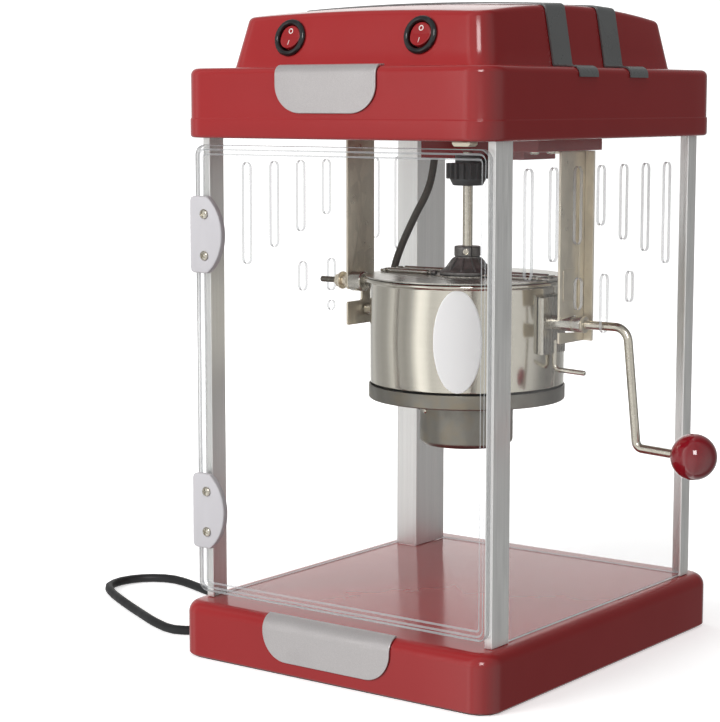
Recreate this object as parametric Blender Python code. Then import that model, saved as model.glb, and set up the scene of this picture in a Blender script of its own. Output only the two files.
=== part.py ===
"""Countertop popcorn maker: a clear cabinet between a red base and a red canopy, a kettle that
tilts on two hangers and is turned out by a crank, a motor that drives the stirrer through a pair
of gears, a hinged front door, two rocker switches and a mains cord.

Frame: metres, +Z up, -Y to the door, +X to the crank, origin on the table under the middle of
the base. The numbers below are millimetres.
"""
import math

import bmesh
import bpy
from mathutils import Matrix, Vector

MM = 0.001
GAP = 0.3                     # air left between neighbouring pieces

# ---- base ------------------------------------------------------------------------------------
BASE_HX, BASE_HY, BASE_R = 124.6, 145.5, 16.0
BASE_TOP, BASE_BOTTOM, BASE_EDGE, WALL = 38.0, 1.2, 8.5, 2.3
# ---- canopy ----------------------------------------------------------------------------------
BAND_HX, BAND_HY, BAND_R = 120.8, 144.3, 19.0
BAND_LOW, BAND_TOP, BAND_EDGE, LIP_Z, LIP = 348.0, 393.0, 4.5, 361.0, 0.6
DOME_FOOT = (101.3, 119.15, 14.0, 0.65)      # half width, half depth, corner radius, centre y
DOME_HEAD = (94.6, 112.8, 13.0, 1.8)
FOOT_Z, EAVES_Z, CROWN, SIDE_FALL = 393.8, 427.8, 7.4, 2.5
STRIPES = ((-42.4, -19.9), (21.4, 44.2))     # y from, y to
# ---- cabinet ---------------------------------------------------------------------------------
POST_X, POST_Y, POST_T = 115.0, 127.5, 1.3
FRONT_LEG_X, FRONT_LEG_Y, REAR_LEG = 5.5, 19.1, 12.0
FLOOR, CEILING = BASE_TOP + GAP, 349.4
PANEL_T = 2.2
DOOR = (-117.0, 114.8, 43.3, 343.4)          # x from, x to, z from, z to
DOOR_BACK, DOOR_FRONT = -129.5, -133.5
# ---- door hinge ------------------------------------------------------------------------------
AXIS_X, AXIS_Y = -115.3, -131.5
HINGE_Z, HINGE_HALF = (284.5, 99.4), 25.3
KNUCKLE_R, PIN_R, PIN_BORE = 2.1, 0.8, 1.15
SCREW_X, SCREW_DZ = -105.9, 13.7
# ---- kettle ----------------------------------------------------------------------------------
KX, KY = 5.0, 7.5                            # kettle and stirrer axis
POT_R, RIM_R, POT_FLOOR, RIM_Z = 66.5, 70.2, 180.0, 252.6
PIVOT_Z = 225.7
LID_Z, LID_T, LID_R, ARM_HALF = 252.9, 0.9, 69.4, 6.5
LID_AXIS_DY, LID_AXIS_Z, BARREL_R, ROD_R = 9.6, 255.0, 1.9, 0.75
SHAFT_R = 3.4
# ---- stirrer drive: a pair of spur gears --------------------------------------------------------
GEAR_TEETH, PINION_TEETH, MODULE = 18, 9, 1.55
GEAR_Z = (319.6, 330.0)
GEAR_R, PINION_R = GEAR_TEETH * MODULE / 2, PINION_TEETH * MODULE / 2
PINION_Y = KY + GEAR_R + PINION_R
# ---- hangers ---------------------------------------------------------------------------------
HANG_L, HANG_R, SHEET = -82.8, 89.2, 1.6
# ---- switches --------------------------------------------------------------------------------
SWITCH_X, SWITCH_Z = 51.1, 412.0
ROCK = math.radians(8.0)
# ---- mains cord ------------------------------------------------------------------------------
CORD_R, CORD_EXIT_X, CORD_EXIT_Z = 3.2, -92.0, 17.0
COIL_X, COIL_Y, COIL_R = -40.0, 192.0, 36.8

for leftover in list(bpy.data.objects):
    bpy.data.objects.remove(leftover, do_unlink=True)
for block in (bpy.data.meshes, bpy.data.curves, bpy.data.materials):
    for item in list(block):
        if not item.users:
            block.remove(item)


# ---- materials --------------------------------------------------------------------------------
def material(name, colour, rough, metal=0.0, alpha=1.0, clear=0.0):
    m = bpy.data.materials.new(name)
    m.use_nodes = True
    s = m.node_tree.nodes["Principled BSDF"]
    s.inputs["Base Color"].default_value = (*colour, 1.0)
    s.inputs["Roughness"].default_value = rough
    s.inputs["Metallic"].default_value = metal
    s.inputs["Alpha"].default_value = alpha
    s.inputs["Transmission Weight"].default_value = clear
    m.diffuse_color = (*colour, alpha)
    return m


RED = material("red_gloss_plastic", (0.33, 0.022, 0.026), 0.18)
BALL = material("red_ball_plastic", (0.30, 0.006, 0.016), 0.15)
ALU = material("anodised_aluminium", (0.60, 0.60, 0.60), 0.35, 1.0)
CLEAR = material("clear_acrylic", (0.95, 0.96, 0.97), 0.05, 0.0, 0.25, 0.9)
STEEL = material("brushed_steel", (0.52, 0.49, 0.44), 0.3, 1.0)
ZINC = material("zinc_plated_steel", (0.50, 0.46, 0.38), 0.35, 1.0)
DARK_STEEL = material("heated_steel", (0.22, 0.21, 0.19), 0.45, 1.0)
CAST = material("cast_hub", (0.20, 0.195, 0.185), 0.45, 0.8)
SILVER = material("silver_plastic", (0.52, 0.50, 0.50), 0.32, 0.4)
STRIPE = material("grey_plastic", (0.20, 0.20, 0.20), 0.3)
HINGE = material("light_grey_plastic", (0.62, 0.61, 0.63), 0.35)
BLACK = material("black_plastic", (0.02, 0.02, 0.02), 0.3)
CHARCOAL = material("charcoal_plastic", (0.07, 0.072, 0.075), 0.45)
ROCKER = material("red_rocker_plastic", (0.55, 0.015, 0.012), 0.2)
RUBBER = material("black_rubber", (0.015, 0.015, 0.015), 0.7)
CABLE = material("grey_sleeve", (0.13, 0.125, 0.115), 0.6)


# ---- shape helpers ----------------------------------------------------------------------------
def rrect(hx, hy, r, cx=0.0, cy=0.0, corner=3, nx=3, ny=4):
    """A rectangle with round corners, counter-clockwise, with points along its sides."""
    r = max(r, 0.2)
    pts = []
    for k, (sx, sy) in enumerate(((1, 1), (-1, 1), (-1, -1), (1, -1))):
        ox, oy = cx + sx * (hx - r), cy + sy * (hy - r)
        for i in range(corner + 1):
            a = math.radians(90 * (k + i / corner))
            pts.append((ox + r * math.cos(a), oy + r * math.sin(a)))
        tx, ty = ((-1, 1), (-1, -1), (1, -1), (1, 1))[k]
        nxt = (cx + tx * (hx - r), cy + ty * (hy - r))
        a = math.radians(90 * (k + 1))
        end = (nxt[0] + r * math.cos(a), nxt[1] + r * math.sin(a))
        n = nx if k % 2 == 0 else ny
        x0, y0 = pts[-1]
        for i in range(1, n):
            pts.append((x0 + (end[0] - x0) * i / n, y0 + (end[1] - y0) * i / n))
    return pts


def loft(rings, cap=True, loop=False):
    """Skins equal rings of points into one mesh; loop joins the last ring to the first."""
    n = len(rings[0])
    verts = [p for ring in rings for p in ring]
    faces = []
    last = len(rings) if loop else len(rings) - 1
    for k in range(last):
        a, b = k * n, ((k + 1) % len(rings)) * n
        for i in range(n):
            j = (i + 1) % n
            faces.append((a + i, a + j, b + j, b + i))
    if cap and not loop:
        faces.append(tuple(range(n))[::-1])
        faces.append(tuple((len(rings) - 1) * n + i for i in range(n)))
    return verts, faces


def box(x0, x1, y0, y1, z0, z1):
    return loft([[(x0, y0, z), (x1, y0, z), (x1, y1, z), (x0, y1, z)] for z in (z0, z1)])


def prism(outline, axis, a, b):
    """Extrudes a 2-D outline: along z it is (x, y), along x it is (y, z), along y it is (x, z)."""
    put = {"z": lambda p, t: (p[0], p[1], t), "x": lambda p, t: (t, p[0], p[1]),
           "y": lambda p, t: (p[0], t, p[1])}[axis]
    return loft([[put(p, t) for p in outline] for t in (a, b)])


def lathe(profile, n, cx=KX, cy=KY, loop=False):
    """Turns a profile of (radius, height) about a vertical axis. Without loop it runs from the
    axis to the axis, and its first and last points have radius 0."""
    turn = [(math.cos(2 * math.pi * i / n), math.sin(2 * math.pi * i / n)) for i in range(n)]
    if loop:
        return loft([[(cx + r * c, cy + r * s, z) for c, s in turn] for r, z in profile],
                    loop=True)
    verts = [(cx, cy, profile[0][1])]
    for r, z in profile[1:-1]:
        verts += [(cx + r * c, cy + r * s, z) for c, s in turn]
    verts.append((cx, cy, profile[-1][1]))
    top, faces, rings = len(verts) - 1, [], len(profile) - 2
    for i in range(n):
        j = (i + 1) % n
        faces.append((0, 1 + j, 1 + i))
        for k in range(rings - 1):
            a, b = 1 + k * n, 1 + (k + 1) * n
            faces.append((a + i, a + j, b + j, b + i))
        a = 1 + (rings - 1) * n
        faces.append((a + i, a + j, top))
    return verts, faces


def turned_along_x(profile, n, cy, cz, loop=False):
    """Turns a profile of (radius, x) about a line along X."""
    verts, faces = lathe(profile, n, 0, 0, loop)
    return [(z, cy + x, cz + y) for x, y, z in verts], faces


def filleted(points, radii, step=12):
    """A path of straight runs whose corners are rounded with arcs, like bent rod."""
    out = [Vector(points[0])]
    for i in range(1, len(points) - 1):
        p, a, b = Vector(points[i]), Vector(points[i - 1]), Vector(points[i + 1])
        u, v = (a - p).normalized(), (b - p).normalized()
        angle = u.angle(v)
        r = radii[i - 1]
        cut = r / math.tan(angle / 2)
        centre = p + (u + v).normalized() * (r / math.sin(angle / 2))
        s, e = p + u * cut - centre, p + v * cut - centre
        turn = s.angle(e)
        axis = s.cross(e).normalized()
        n = max(2, round(math.degrees(turn) / step))
        for k in range(n + 1):
            out.append(centre + Matrix.Rotation(turn * k / n, 3, axis) @ s)
    out.append(Vector(points[-1]))
    return out


def smooth_path(points, spacing, radius_points=24):
    """An even run of points along a Catmull-Rom curve through the given points."""
    pts = [Vector(p) for p in points]
    pts = [2 * pts[0] - pts[1]] + pts + [2 * pts[-1] - pts[-2]]
    fine = []
    for i in range(1, len(pts) - 2):
        p0, p1, p2, p3 = pts[i - 1:i + 3]
        t1 = max((p1 - p0).length, 1e-6) ** 0.5
        t2 = max((p2 - p1).length, 1e-6) ** 0.5
        t3 = max((p3 - p2).length, 1e-6) ** 0.5
        m1 = (p2 - p1) + t2 * ((p1 - p0) / t1 - (p2 - p0) / (t1 + t2))
        m2 = (p2 - p1) + t2 * ((p3 - p2) / t3 - (p3 - p1) / (t2 + t3))
        for k in range(radius_points):
            t = k / radius_points
            fine.append((2 * t ** 3 - 3 * t * t + 1) * p1 + (t ** 3 - 2 * t * t + t) * m1
                        + (-2 * t ** 3 + 3 * t * t) * p2 + (t ** 3 - t * t) * m2)
    fine.append(pts[-2])
    total = sum((b - a).length for a, b in zip(fine, fine[1:]))
    n = max(2, round(total / spacing))
    out, along, want = [fine[0]], 0.0, total / n
    for a, b in zip(fine, fine[1:]):
        d = (b - a).length
        while along + d >= want * len(out) and len(out) < n:
            out.append(a.lerp(b, (want * len(out) - along) / d))
        along += d
    out.append(fine[-1])
    return out


def tube(path, r, n=10):
    """A round bar along a path, its section carried along without twist."""
    path = [Vector(p) for p in path]
    tangent = (path[1] - path[0]).normalized()
    side = tangent.orthogonal().normalized()
    rings = []
    for i, p in enumerate(path):
        a, b = path[max(i - 1, 0)], path[min(i + 1, len(path) - 1)]
        t = (b - a).normalized()
        side = (side - t * side.dot(t)).normalized()
        up = t.cross(side)
        rings.append([tuple(p + r * (math.cos(2 * math.pi * k / n) * side
                                     + math.sin(2 * math.pi * k / n) * up)) for k in range(n)])
    return loft(rings)


def stadium(cy, z0, z1, r, n=4):
    """A slot's outline in (y, z), round at both ends."""
    top = [(cy + r * math.cos(math.pi * i / n), z1 - r + r * math.sin(math.pi * i / n))
           for i in range(n + 1)]
    low = [(cy - r * math.cos(math.pi * i / n), z0 + r - r * math.sin(math.pi * i / n))
           for i in range(n + 1)]
    return top + low


def circle(cx, cy, r, n=16, start=0.0):
    return [(cx + r * math.cos(start + 2 * math.pi * i / n),
             cy + r * math.sin(start + 2 * math.pi * i / n)) for i in range(n)]


def merged(*shapes):
    verts, faces = [], []
    for v, f in shapes:
        faces += [tuple(i + len(verts) for i in face) for face in f]
        verts += list(v)
    return verts, faces


def placed(shape, matrix):
    verts, faces = shape
    return [tuple(matrix @ Vector(p)) for p in verts], faces


# ---- objects ----------------------------------------------------------------------------------
def to_mesh(name, shape, origin=(0, 0, 0)):
    verts, faces = shape
    mesh = bpy.data.meshes.new(name)
    o = Vector(origin)
    mesh.from_pydata([(Vector(p) - o) * MM for p in verts], [], faces)
    bm = bmesh.new()
    bm.from_mesh(mesh)
    bmesh.ops.recalc_face_normals(bm, faces=bm.faces)
    bm.to_mesh(mesh)
    bm.free()
    return mesh


def combine(obj, shape, how, origin):
    """Joins or cuts a shape into an object with an exact Boolean and keeps the result."""
    tool = bpy.data.objects.new("tool", to_mesh("tool", shape, origin))
    tool.matrix_world = obj.matrix_world
    tool.hide_render = True
    tool.display_type = "WIRE"
    bpy.context.scene.collection.objects.link(tool)
    mod = obj.modifiers.new(how, "BOOLEAN")
    mod.operation, mod.solver, mod.object = how, "EXACT", tool
    bpy.context.view_layer.update()
    depsgraph = bpy.context.evaluated_depsgraph_get()
    result = bpy.data.meshes.new_from_object(obj.evaluated_get(depsgraph))
    obj.modifiers.remove(mod)
    old, obj.data = obj.data, result
    bpy.data.meshes.remove(old)
    cutter = tool.data
    bpy.data.objects.remove(tool, do_unlink=True)
    bpy.data.meshes.remove(cutter)


def piece(name, shape, mat, origin=(0, 0, 0), parent=None, add=(), cut=(), keep=(), angle=35):
    """One named solid. Its origin is in world millimetres, as are all its points."""
    obj = bpy.data.objects.new(name, to_mesh(name, shape, origin))
    bpy.context.scene.collection.objects.link(obj)
    if parent:
        obj.parent = parent
        obj.location = (Vector(origin) - Vector(parent["at"])) * MM
    else:
        obj.location = Vector(origin) * MM
    bpy.context.view_layer.update()
    for s in add:
        combine(obj, s, "UNION", origin)
    for s in keep:
        combine(obj, s, "INTERSECT", origin)
    for s in cut:
        combine(obj, s, "DIFFERENCE", origin)
    bm = bmesh.new()
    bm.from_mesh(obj.data)
    bmesh.ops.remove_doubles(bm, verts=bm.verts, dist=1e-6)
    bmesh.ops.dissolve_degenerate(bm, edges=bm.edges, dist=1e-6)
    bm.to_mesh(obj.data)
    bm.free()
    obj.data.name = name
    obj.data.materials.clear()
    obj.data.materials.append(mat)
    obj.data.shade_smooth()
    obj.data.set_sharp_from_angle(angle=math.radians(angle))
    return obj


def pivot(name, at, parent=None):
    """An empty on a joint's axis that carries the pieces that turn about it."""
    e = bpy.data.objects.new(name, None)
    e.empty_display_size = 0.02
    bpy.context.scene.collection.objects.link(e)
    e["at"] = at
    if parent:
        e.parent = parent
        e.location = (Vector(at) - Vector(parent["at"])) * MM
    else:
        e.location = Vector(at) * MM
    bpy.context.view_layer.update()
    return e


DOOR_AXIS = pivot("door_axis", (AXIS_X, AXIS_Y, 193.0))
TILT_AXIS = pivot("kettle_tilt_axis", (KX, KY, PIVOT_Z))
SPIN_AXIS = pivot("stirrer_axis", (KX, KY, 255.0), TILT_AXIS)


# ---- base -------------------------------------------------------------------------------------
def base_rings(d, low):
    """The base's outer form grown by d, as rings from its foot to its flat top."""
    rings = [[(x, y, low) for x, y in rrect(BASE_HX + d, BASE_HY + d, BASE_R + d, nx=1, ny=1)]]
    for i in range(4):
        a = math.radians(90 * i / 3)
        off = -BASE_EDGE + (BASE_EDGE + d) * math.cos(a)
        z = BASE_TOP - BASE_EDGE + (BASE_EDGE + d) * math.sin(a)
        rings.append([(x, y, z) for x, y in
                      rrect(BASE_HX + off, BASE_HY + off, BASE_R + off, nx=1, ny=1)])
    return rings


def shell(outer, inner):
    """An open-bottomed moulding: outer skin, inner skin and the rim between their first rings."""
    n = len(outer[0])
    ov, of = loft(outer)
    iv, inf = loft(inner)
    of = [f for f in of if sorted(f) != list(range(n))]
    inf = [f for f in inf if sorted(f) != list(range(n))]
    k = len(ov)
    faces = of + [tuple(i + k for i in f)[::-1] for f in inf]
    faces += [(i, (i + 1) % n, k + (i + 1) % n, k + i) for i in range(n)]
    return ov + iv, faces


CORD_HOLE = placed(prism(circle(0, 0, 5.3, 20), "z", -6, 6),
                   Matrix.Translation((CORD_EXIT_X, BASE_HY - 1, CORD_EXIT_Z))
                   @ Matrix.Rotation(math.radians(90), 4, "X"))
piece("base_shell", shell(base_rings(0, BASE_BOTTOM), base_rings(-WALL, BASE_BOTTOM)), RED,
      cut=[CORD_HOLE])
inner_x, inner_y = BASE_HX - WALL - GAP, BASE_HY - WALL - GAP
feet = (("foot_front_left", -1, -1), ("foot_front_right", 1, -1), ("foot_rear_left", -1, 1),
        ("foot_rear_right", 1, 1))
# the bottom plate stands on the table with a rubber pad let into it at each corner
piece("base_bottom", loft([[(x, y, z) for x, y in
                            rrect(inner_x, inner_y, BASE_R - WALL - GAP, nx=1, ny=1)]
                           for z in (0.0, 3.5)]), BLACK,
      cut=[merged(*[prism(circle(sx * 104, sy * 124, 9.3, 20), "z", -1, 1.5)
                    for _, sx, sy in feet])])
for name, sx, sy in feet:
    piece(name, lathe([(0, 0), (8.2, 0), (9, 0.5), (9, 1.2), (0, 1.2)], 20, sx * 104, sy * 124),
          RUBBER)

# ---- posts, panels and duct ---------------------------------------------------------------------
for name, sx, sy in (("post_front_left", -1, -1), ("post_front_right", 1, -1),
                     ("post_rear_left", -1, 1), ("post_rear_right", 1, 1)):
    lx, ly = (FRONT_LEG_X, FRONT_LEG_Y) if sy < 0 else (REAR_LEG, REAR_LEG)
    t = POST_T
    outline = [(0, 0), (lx, 0), (lx, t), (t, t), (t, ly), (0, ly)]
    outline = [(sx * (POST_X - a), sy * (POST_Y - b)) for a, b in outline]
    piece(name, prism(outline, "z", FLOOR, CEILING), ALU)

SLOT_Y, SLOT_STEP, SLOT_R = 2.0, 29.4, 3.9
SLOT_TOP, SLOT_LOW = 330.6, (262.0, 272.0, 281.3, 292.0, 281.3, 272.0, 262.0)
for side, sx in (("left", -1), ("right", 1)):
    outer = POST_X - POST_T - GAP
    x0, x1 = sorted((sx * outer, sx * (outer - PANEL_T)))
    slots = [prism(stadium(SLOT_Y + SLOT_STEP * (k - 3), low, SLOT_TOP, SLOT_R), "x",
                   x0 - 2, x1 + 2) for k, low in enumerate(SLOT_LOW)]
    slots += [prism(stadium(y, 239.2, 259.6, SLOT_R), "x", x0 - 2, x1 + 2)
              for y in (-25.4, 41.0)]
    if sx > 0:
        slots.append(prism(stadium(KY, PIVOT_Z - 4.2, 259.8, 4.0), "x", x0 - 2, x1 + 2))
    else:
        slots.append(prism(stadium(KY, 237.0, 259.8, SLOT_R), "x", x0 - 2, x1 + 2))
        slots.append(prism(circle(KY, PIVOT_Z + 0.6, 3.5, 14), "x", x0 - 2, x1 + 2))
    piece("side_panel_" + side, box(x0, x1, -125.9, 125.9, FLOOR, CEILING), CLEAR,
          cut=[merged(*slots)])
piece("rear_panel", box(-110.9, 110.9, 123.7, 125.9, FLOOR, CEILING), CLEAR)
duct = [(-110.8, 87.0), (-93.0, 87.0), (-93.0, 123.4), (-94.2, 123.4), (-94.2, 88.2),
        (-110.8, 88.2)]
piece("wiring_duct", prism(duct, "z", FLOOR, CEILING), ALU)


# ---- canopy -----------------------------------------------------------------------------------
def roof(x, y):
    return EAVES_Z + CROWN * (1 - (y / 112.0) ** 2) - SIDE_FALL * (x / 95.0) ** 2


def canopy_rings(d, low=None):
    """The canopy's outer form grown by d: band, rounded ledge, sloping dome side and roof."""
    rings = []

    def band(off, z):
        rings.append([(x, y, z) for x, y in
                      rrect(BAND_HX + off, BAND_HY + off, BAND_R + off)])

    if low is None:
        band(LIP - 2.2, BAND_LOW)
        band(LIP - 0.6, BAND_LOW + 0.5)
        band(LIP, BAND_LOW + 2.2)
    else:
        band(LIP + d, low)
    band(LIP + d, LIP_Z - 0.7)
    band(d, LIP_Z + 0.1)
    for i in range(4):
        a = math.radians(90 * i / 3)
        band(-BAND_EDGE + (BAND_EDGE + d) * math.cos(a),
             BAND_TOP - BAND_EDGE + (BAND_EDGE + d) * math.sin(a))

    def level(t, inset):
        hx, hy, r, cy = (a + (b - a) * t for a, b in zip(DOME_FOOT, DOME_HEAD))
        return rrect(hx + d - inset, hy + d - inset, r + d - inset, 0, cy)

    foot = [(x, y, FOOT_Z + d) for x, y in level(0, 0)]
    head = [(x, y, roof(x, y) + d) for x, y in level(1, 0)]
    inset = [(x, y, roof(x, y) + d) for x, y in level(1, 3.4)]
    rings.append(foot)
    under = [tuple(Vector(a).lerp(Vector(b), 0.9)) for a, b in zip(foot, head)]
    for k in range(3):
        s = k / 2
        rings.append([tuple(Vector(a) * (1 - s) ** 2 + Vector(b) * 2 * s * (1 - s)
                            + Vector(c) * s * s) for a, b, c in zip(under, head, inset)])
    for s in (0.7, 0.35):
        rings.append([(x * s, DOME_HEAD[3] + (y - DOME_HEAD[3]) * s,
                       roof(x * s, DOME_HEAD[3] + (y - DOME_HEAD[3]) * s) + d)
                      for x, y, _ in inset])
    return rings


tilt = math.atan2(DOME_FOOT[1] - DOME_FOOT[3] - DOME_HEAD[1] + DOME_HEAD[3],
                  EAVES_Z - FOOT_Z)
front_y = -(DOME_FOOT[1] - DOME_FOOT[3]) + (SWITCH_Z - FOOT_Z) * math.tan(tilt)


def switch_frame(x):
    """Local +Z points out of the dome's sloping front, local +X stays level."""
    out = Vector((0, -math.cos(tilt), math.sin(tilt)))
    up = out.cross(Vector((1, 0, 0)))
    m = Matrix((Vector((1, 0, 0)), up, out)).transposed().to_4x4()
    return Matrix.Translation((x, front_y, SWITCH_Z)) @ m


holes = [placed(prism(circle(0, 0, 10.0, 28), "z", -9, 9), switch_frame(s * SWITCH_X))
         for s in (-1, 1)]
inner = canopy_rings(-2.5)
inner[:3] = [[(x, y, BAND_LOW) for x, y in
              rrect(BAND_HX + LIP - 2.5, BAND_HY + LIP - 2.5, BAND_R + LIP - 2.5)]]
piece("canopy_shell", shell(canopy_rings(0), inner), RED, cut=[merged(*holes)])

box_x = (-44.0, 41.0)
piece("canopy_underside",
      loft([[(x, y, z) for x, y in rrect(117.9, 141.4, 16, nx=1, ny=1)] for z in (349.8, 351.3)]),
      RED,
      add=[box(*box_x, 21.5, 62, 332.3, 350.5), box(79, 101, -57, 22, 340.0, 350.5)],
      cut=[box(box_x[0] + 2, box_x[1] - 2, 23.5, 60, 334.3, 360),
           merged(prism(circle(KX, PINION_Y, 3.2, 16), "z", 331, 336),
                  prism(circle(-38.0, 30.0, 3.4, 16), "z", 331, 336))])

for name, (y0, y1) in zip(("stripe_front", "stripe_rear"), STRIPES):
    piece(name, loft(canopy_rings(1.3, 340)), STRIPE,
          keep=[box(-140, 140, y0, y1, 386.9, 450)], cut=[loft(canopy_rings(0.55, 330))])


def badge_outline(half, flat, low, top, shoulder, r_n=7):
    """A plate with straight shoulders and a bowl-shaped lower edge, in (x, z)."""
    pts = [(-half, top), (-half, shoulder)]
    drop, run = shoulder - low, half - flat
    for i in range(1, r_n + 1):
        a = math.radians(90 * i / r_n)
        pts.append((-half + run * (1 - math.cos(a)), shoulder - drop * math.sin(a)))
    return pts + [(-x, z) for x, z in reversed(pts)]


piece("plate_upper", loft(canopy_rings(1.5, 330)), SILVER,
      keep=[prism(badge_outline(39.4, 19.5, 364.2, 396, 382.0), "y", -160, -136)],
      cut=[loft(canopy_rings(GAP, 320))])
piece("plate_lower", loft(base_rings(1.5, -5)), SILVER,
      keep=[prism(badge_outline(51.1, 32.0, 9.6, 41, 29.0), "y", -160, -138.2)],
      cut=[loft(base_rings(GAP, -10))])

for name, s in (("switch_bezel_left", -1), ("switch_bezel_right", 1)):
    cup = lathe([(0, -13), (9.6, -13), (9.6, 0.3), (12.0, 0.3), (12.1, 1.2), (11.3, 2.2),
                 (10.1, 2.7), (9.1, 2.3), (8.5, 1.3), (8.5, -12), (0, -12)], 24, 0, 0)
    piece(name, placed(cup, switch_frame(s * SWITCH_X)), BLACK)
for name, s in (("rocker_left", -1), ("rocker_right", 1)):
    frame = switch_frame(s * SWITCH_X)
    at = frame @ Vector((0, 0, -2.5))
    # a round key whose two halves slope to a middle line, rocked to its off side
    rings = [[(r * math.cos(2 * math.pi * i / 28), r * math.sin(2 * math.pi * i / 28), z)
              for i in range(28)] for r, z in ((6.6, -3.4), (7.7, -1.5), (7.7, 1.0))]
    rings.append([(x * 0.985, y * 0.985, 3.1 + abs(y) * 0.13) for x, y, _ in rings[-1]])
    verts, faces = loft(rings, cap=False)
    n, last = 28, 3 * 28
    faces.append(tuple(range(n))[::-1])
    mid_a, mid_b = last, last + n // 2          # the points on the middle line
    faces.append(tuple(last + i for i in range(0, n // 2 + 1)))
    faces.append(tuple([mid_b] + [last + i for i in range(n // 2 + 1, n)] + [mid_a]))
    key = placed((verts, faces), frame @ Matrix.Translation((0, 0, -2.5))
                 @ Matrix.Rotation(-ROCK, 4, "X"))
    piece(name, key, ROCKER, origin=tuple(at))

piece("gear_motor", box(-22, 32, 12, 52, 351.7, 368), DARK_STEEL,
      add=[prism(circle(KX, 33, 17, 24), "z", 367, 392)],
      cut=[prism(circle(KX, PINION_Y, 2.9, 16), "z", 340, 357.5)])

# ---- hangers ----------------------------------------------------------------------------------
left_web = [(-13.7, CEILING), (17.3, CEILING), (17.3, 215.5), (-13.7, 215.5), (-13.7, 232.0),
            (3.0, 232.0), (3.0, 242.0), (-13.7, 242.0)]
piece("hanger_left", prism(left_web, "x", HANG_L, HANG_L + SHEET), ZINC,
      add=[box(HANG_L - 7, HANG_L + 1, 15.7, 17.3, 242, CEILING),
           box(HANG_L + 0.5, HANG_L + 14, -13.7, 17.3, CEILING - 1.6, CEILING)],
      cut=[merged(prism(circle(KY, PIVOT_Z, 3.4, 16), "x", HANG_L - 3, HANG_L + 4),
                  prism(circle(-8.0, 246.5, 2.4, 14), "x", HANG_L - 3, HANG_L + 4))])
slot = [(-12.5, PIVOT_Z + 5.6)]
slot = ([(-12.5, 339.6), (19.5, 339.6), (19.5, 214.0), (-12.5, 214.0), (-12.5, PIVOT_Z - 5.6)]
        + [(KY + 5.6 * math.cos(math.radians(a)), PIVOT_Z + 5.6 * math.sin(math.radians(a)))
           for a in range(-90, 91, 20)] + slot)
piece("hanger_right", prism(slot, "x", HANG_R, HANG_R + SHEET), ZINC,
      add=[box(HANG_R + 0.5, HANG_R + 8.3, 17.9, 19.5, 214.0, 339.6),
           box(HANG_R - 9.5, HANG_R + 1, -12.5, 19.5, 338.0, 339.6)])
piece("clamp_bolt", turned_along_x(
    [(0, -109), (1.6, -109), (2.0, -108.4), (2.0, -94.5), (4.9, -94.5), (4.9, -91), (6.2, -90.6),
     (6.2, -89.4), (3.6, -89.4), (3.6, -84.4), (6.2, -84.4), (6.2, -83.2), (2.0, -83.2),
     (2.0, -80.8), (7.0, -80.8), (7.0, -71.2), (6.3, -70.5), (0, -70.5)], 12, -8.0, 246.5),
      ZINC)

# ---- door and its hinges --------------------------------------------------------------------------
door_cx, door_hx = (DOOR[0] + DOOR[1]) / 2, (DOOR[1] - DOOR[0]) / 2
door_cz, door_hz = (DOOR[2] + DOOR[3]) / 2, (DOOR[3] - DOOR[2]) / 2


def door_ring(inset, y):
    return [(x, y, z) for x, z in
            rrect(door_hx - inset, door_hz - inset, 7 - 0.8 * inset, door_cx, door_cz,
                  corner=3, nx=1, ny=1)]


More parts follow.
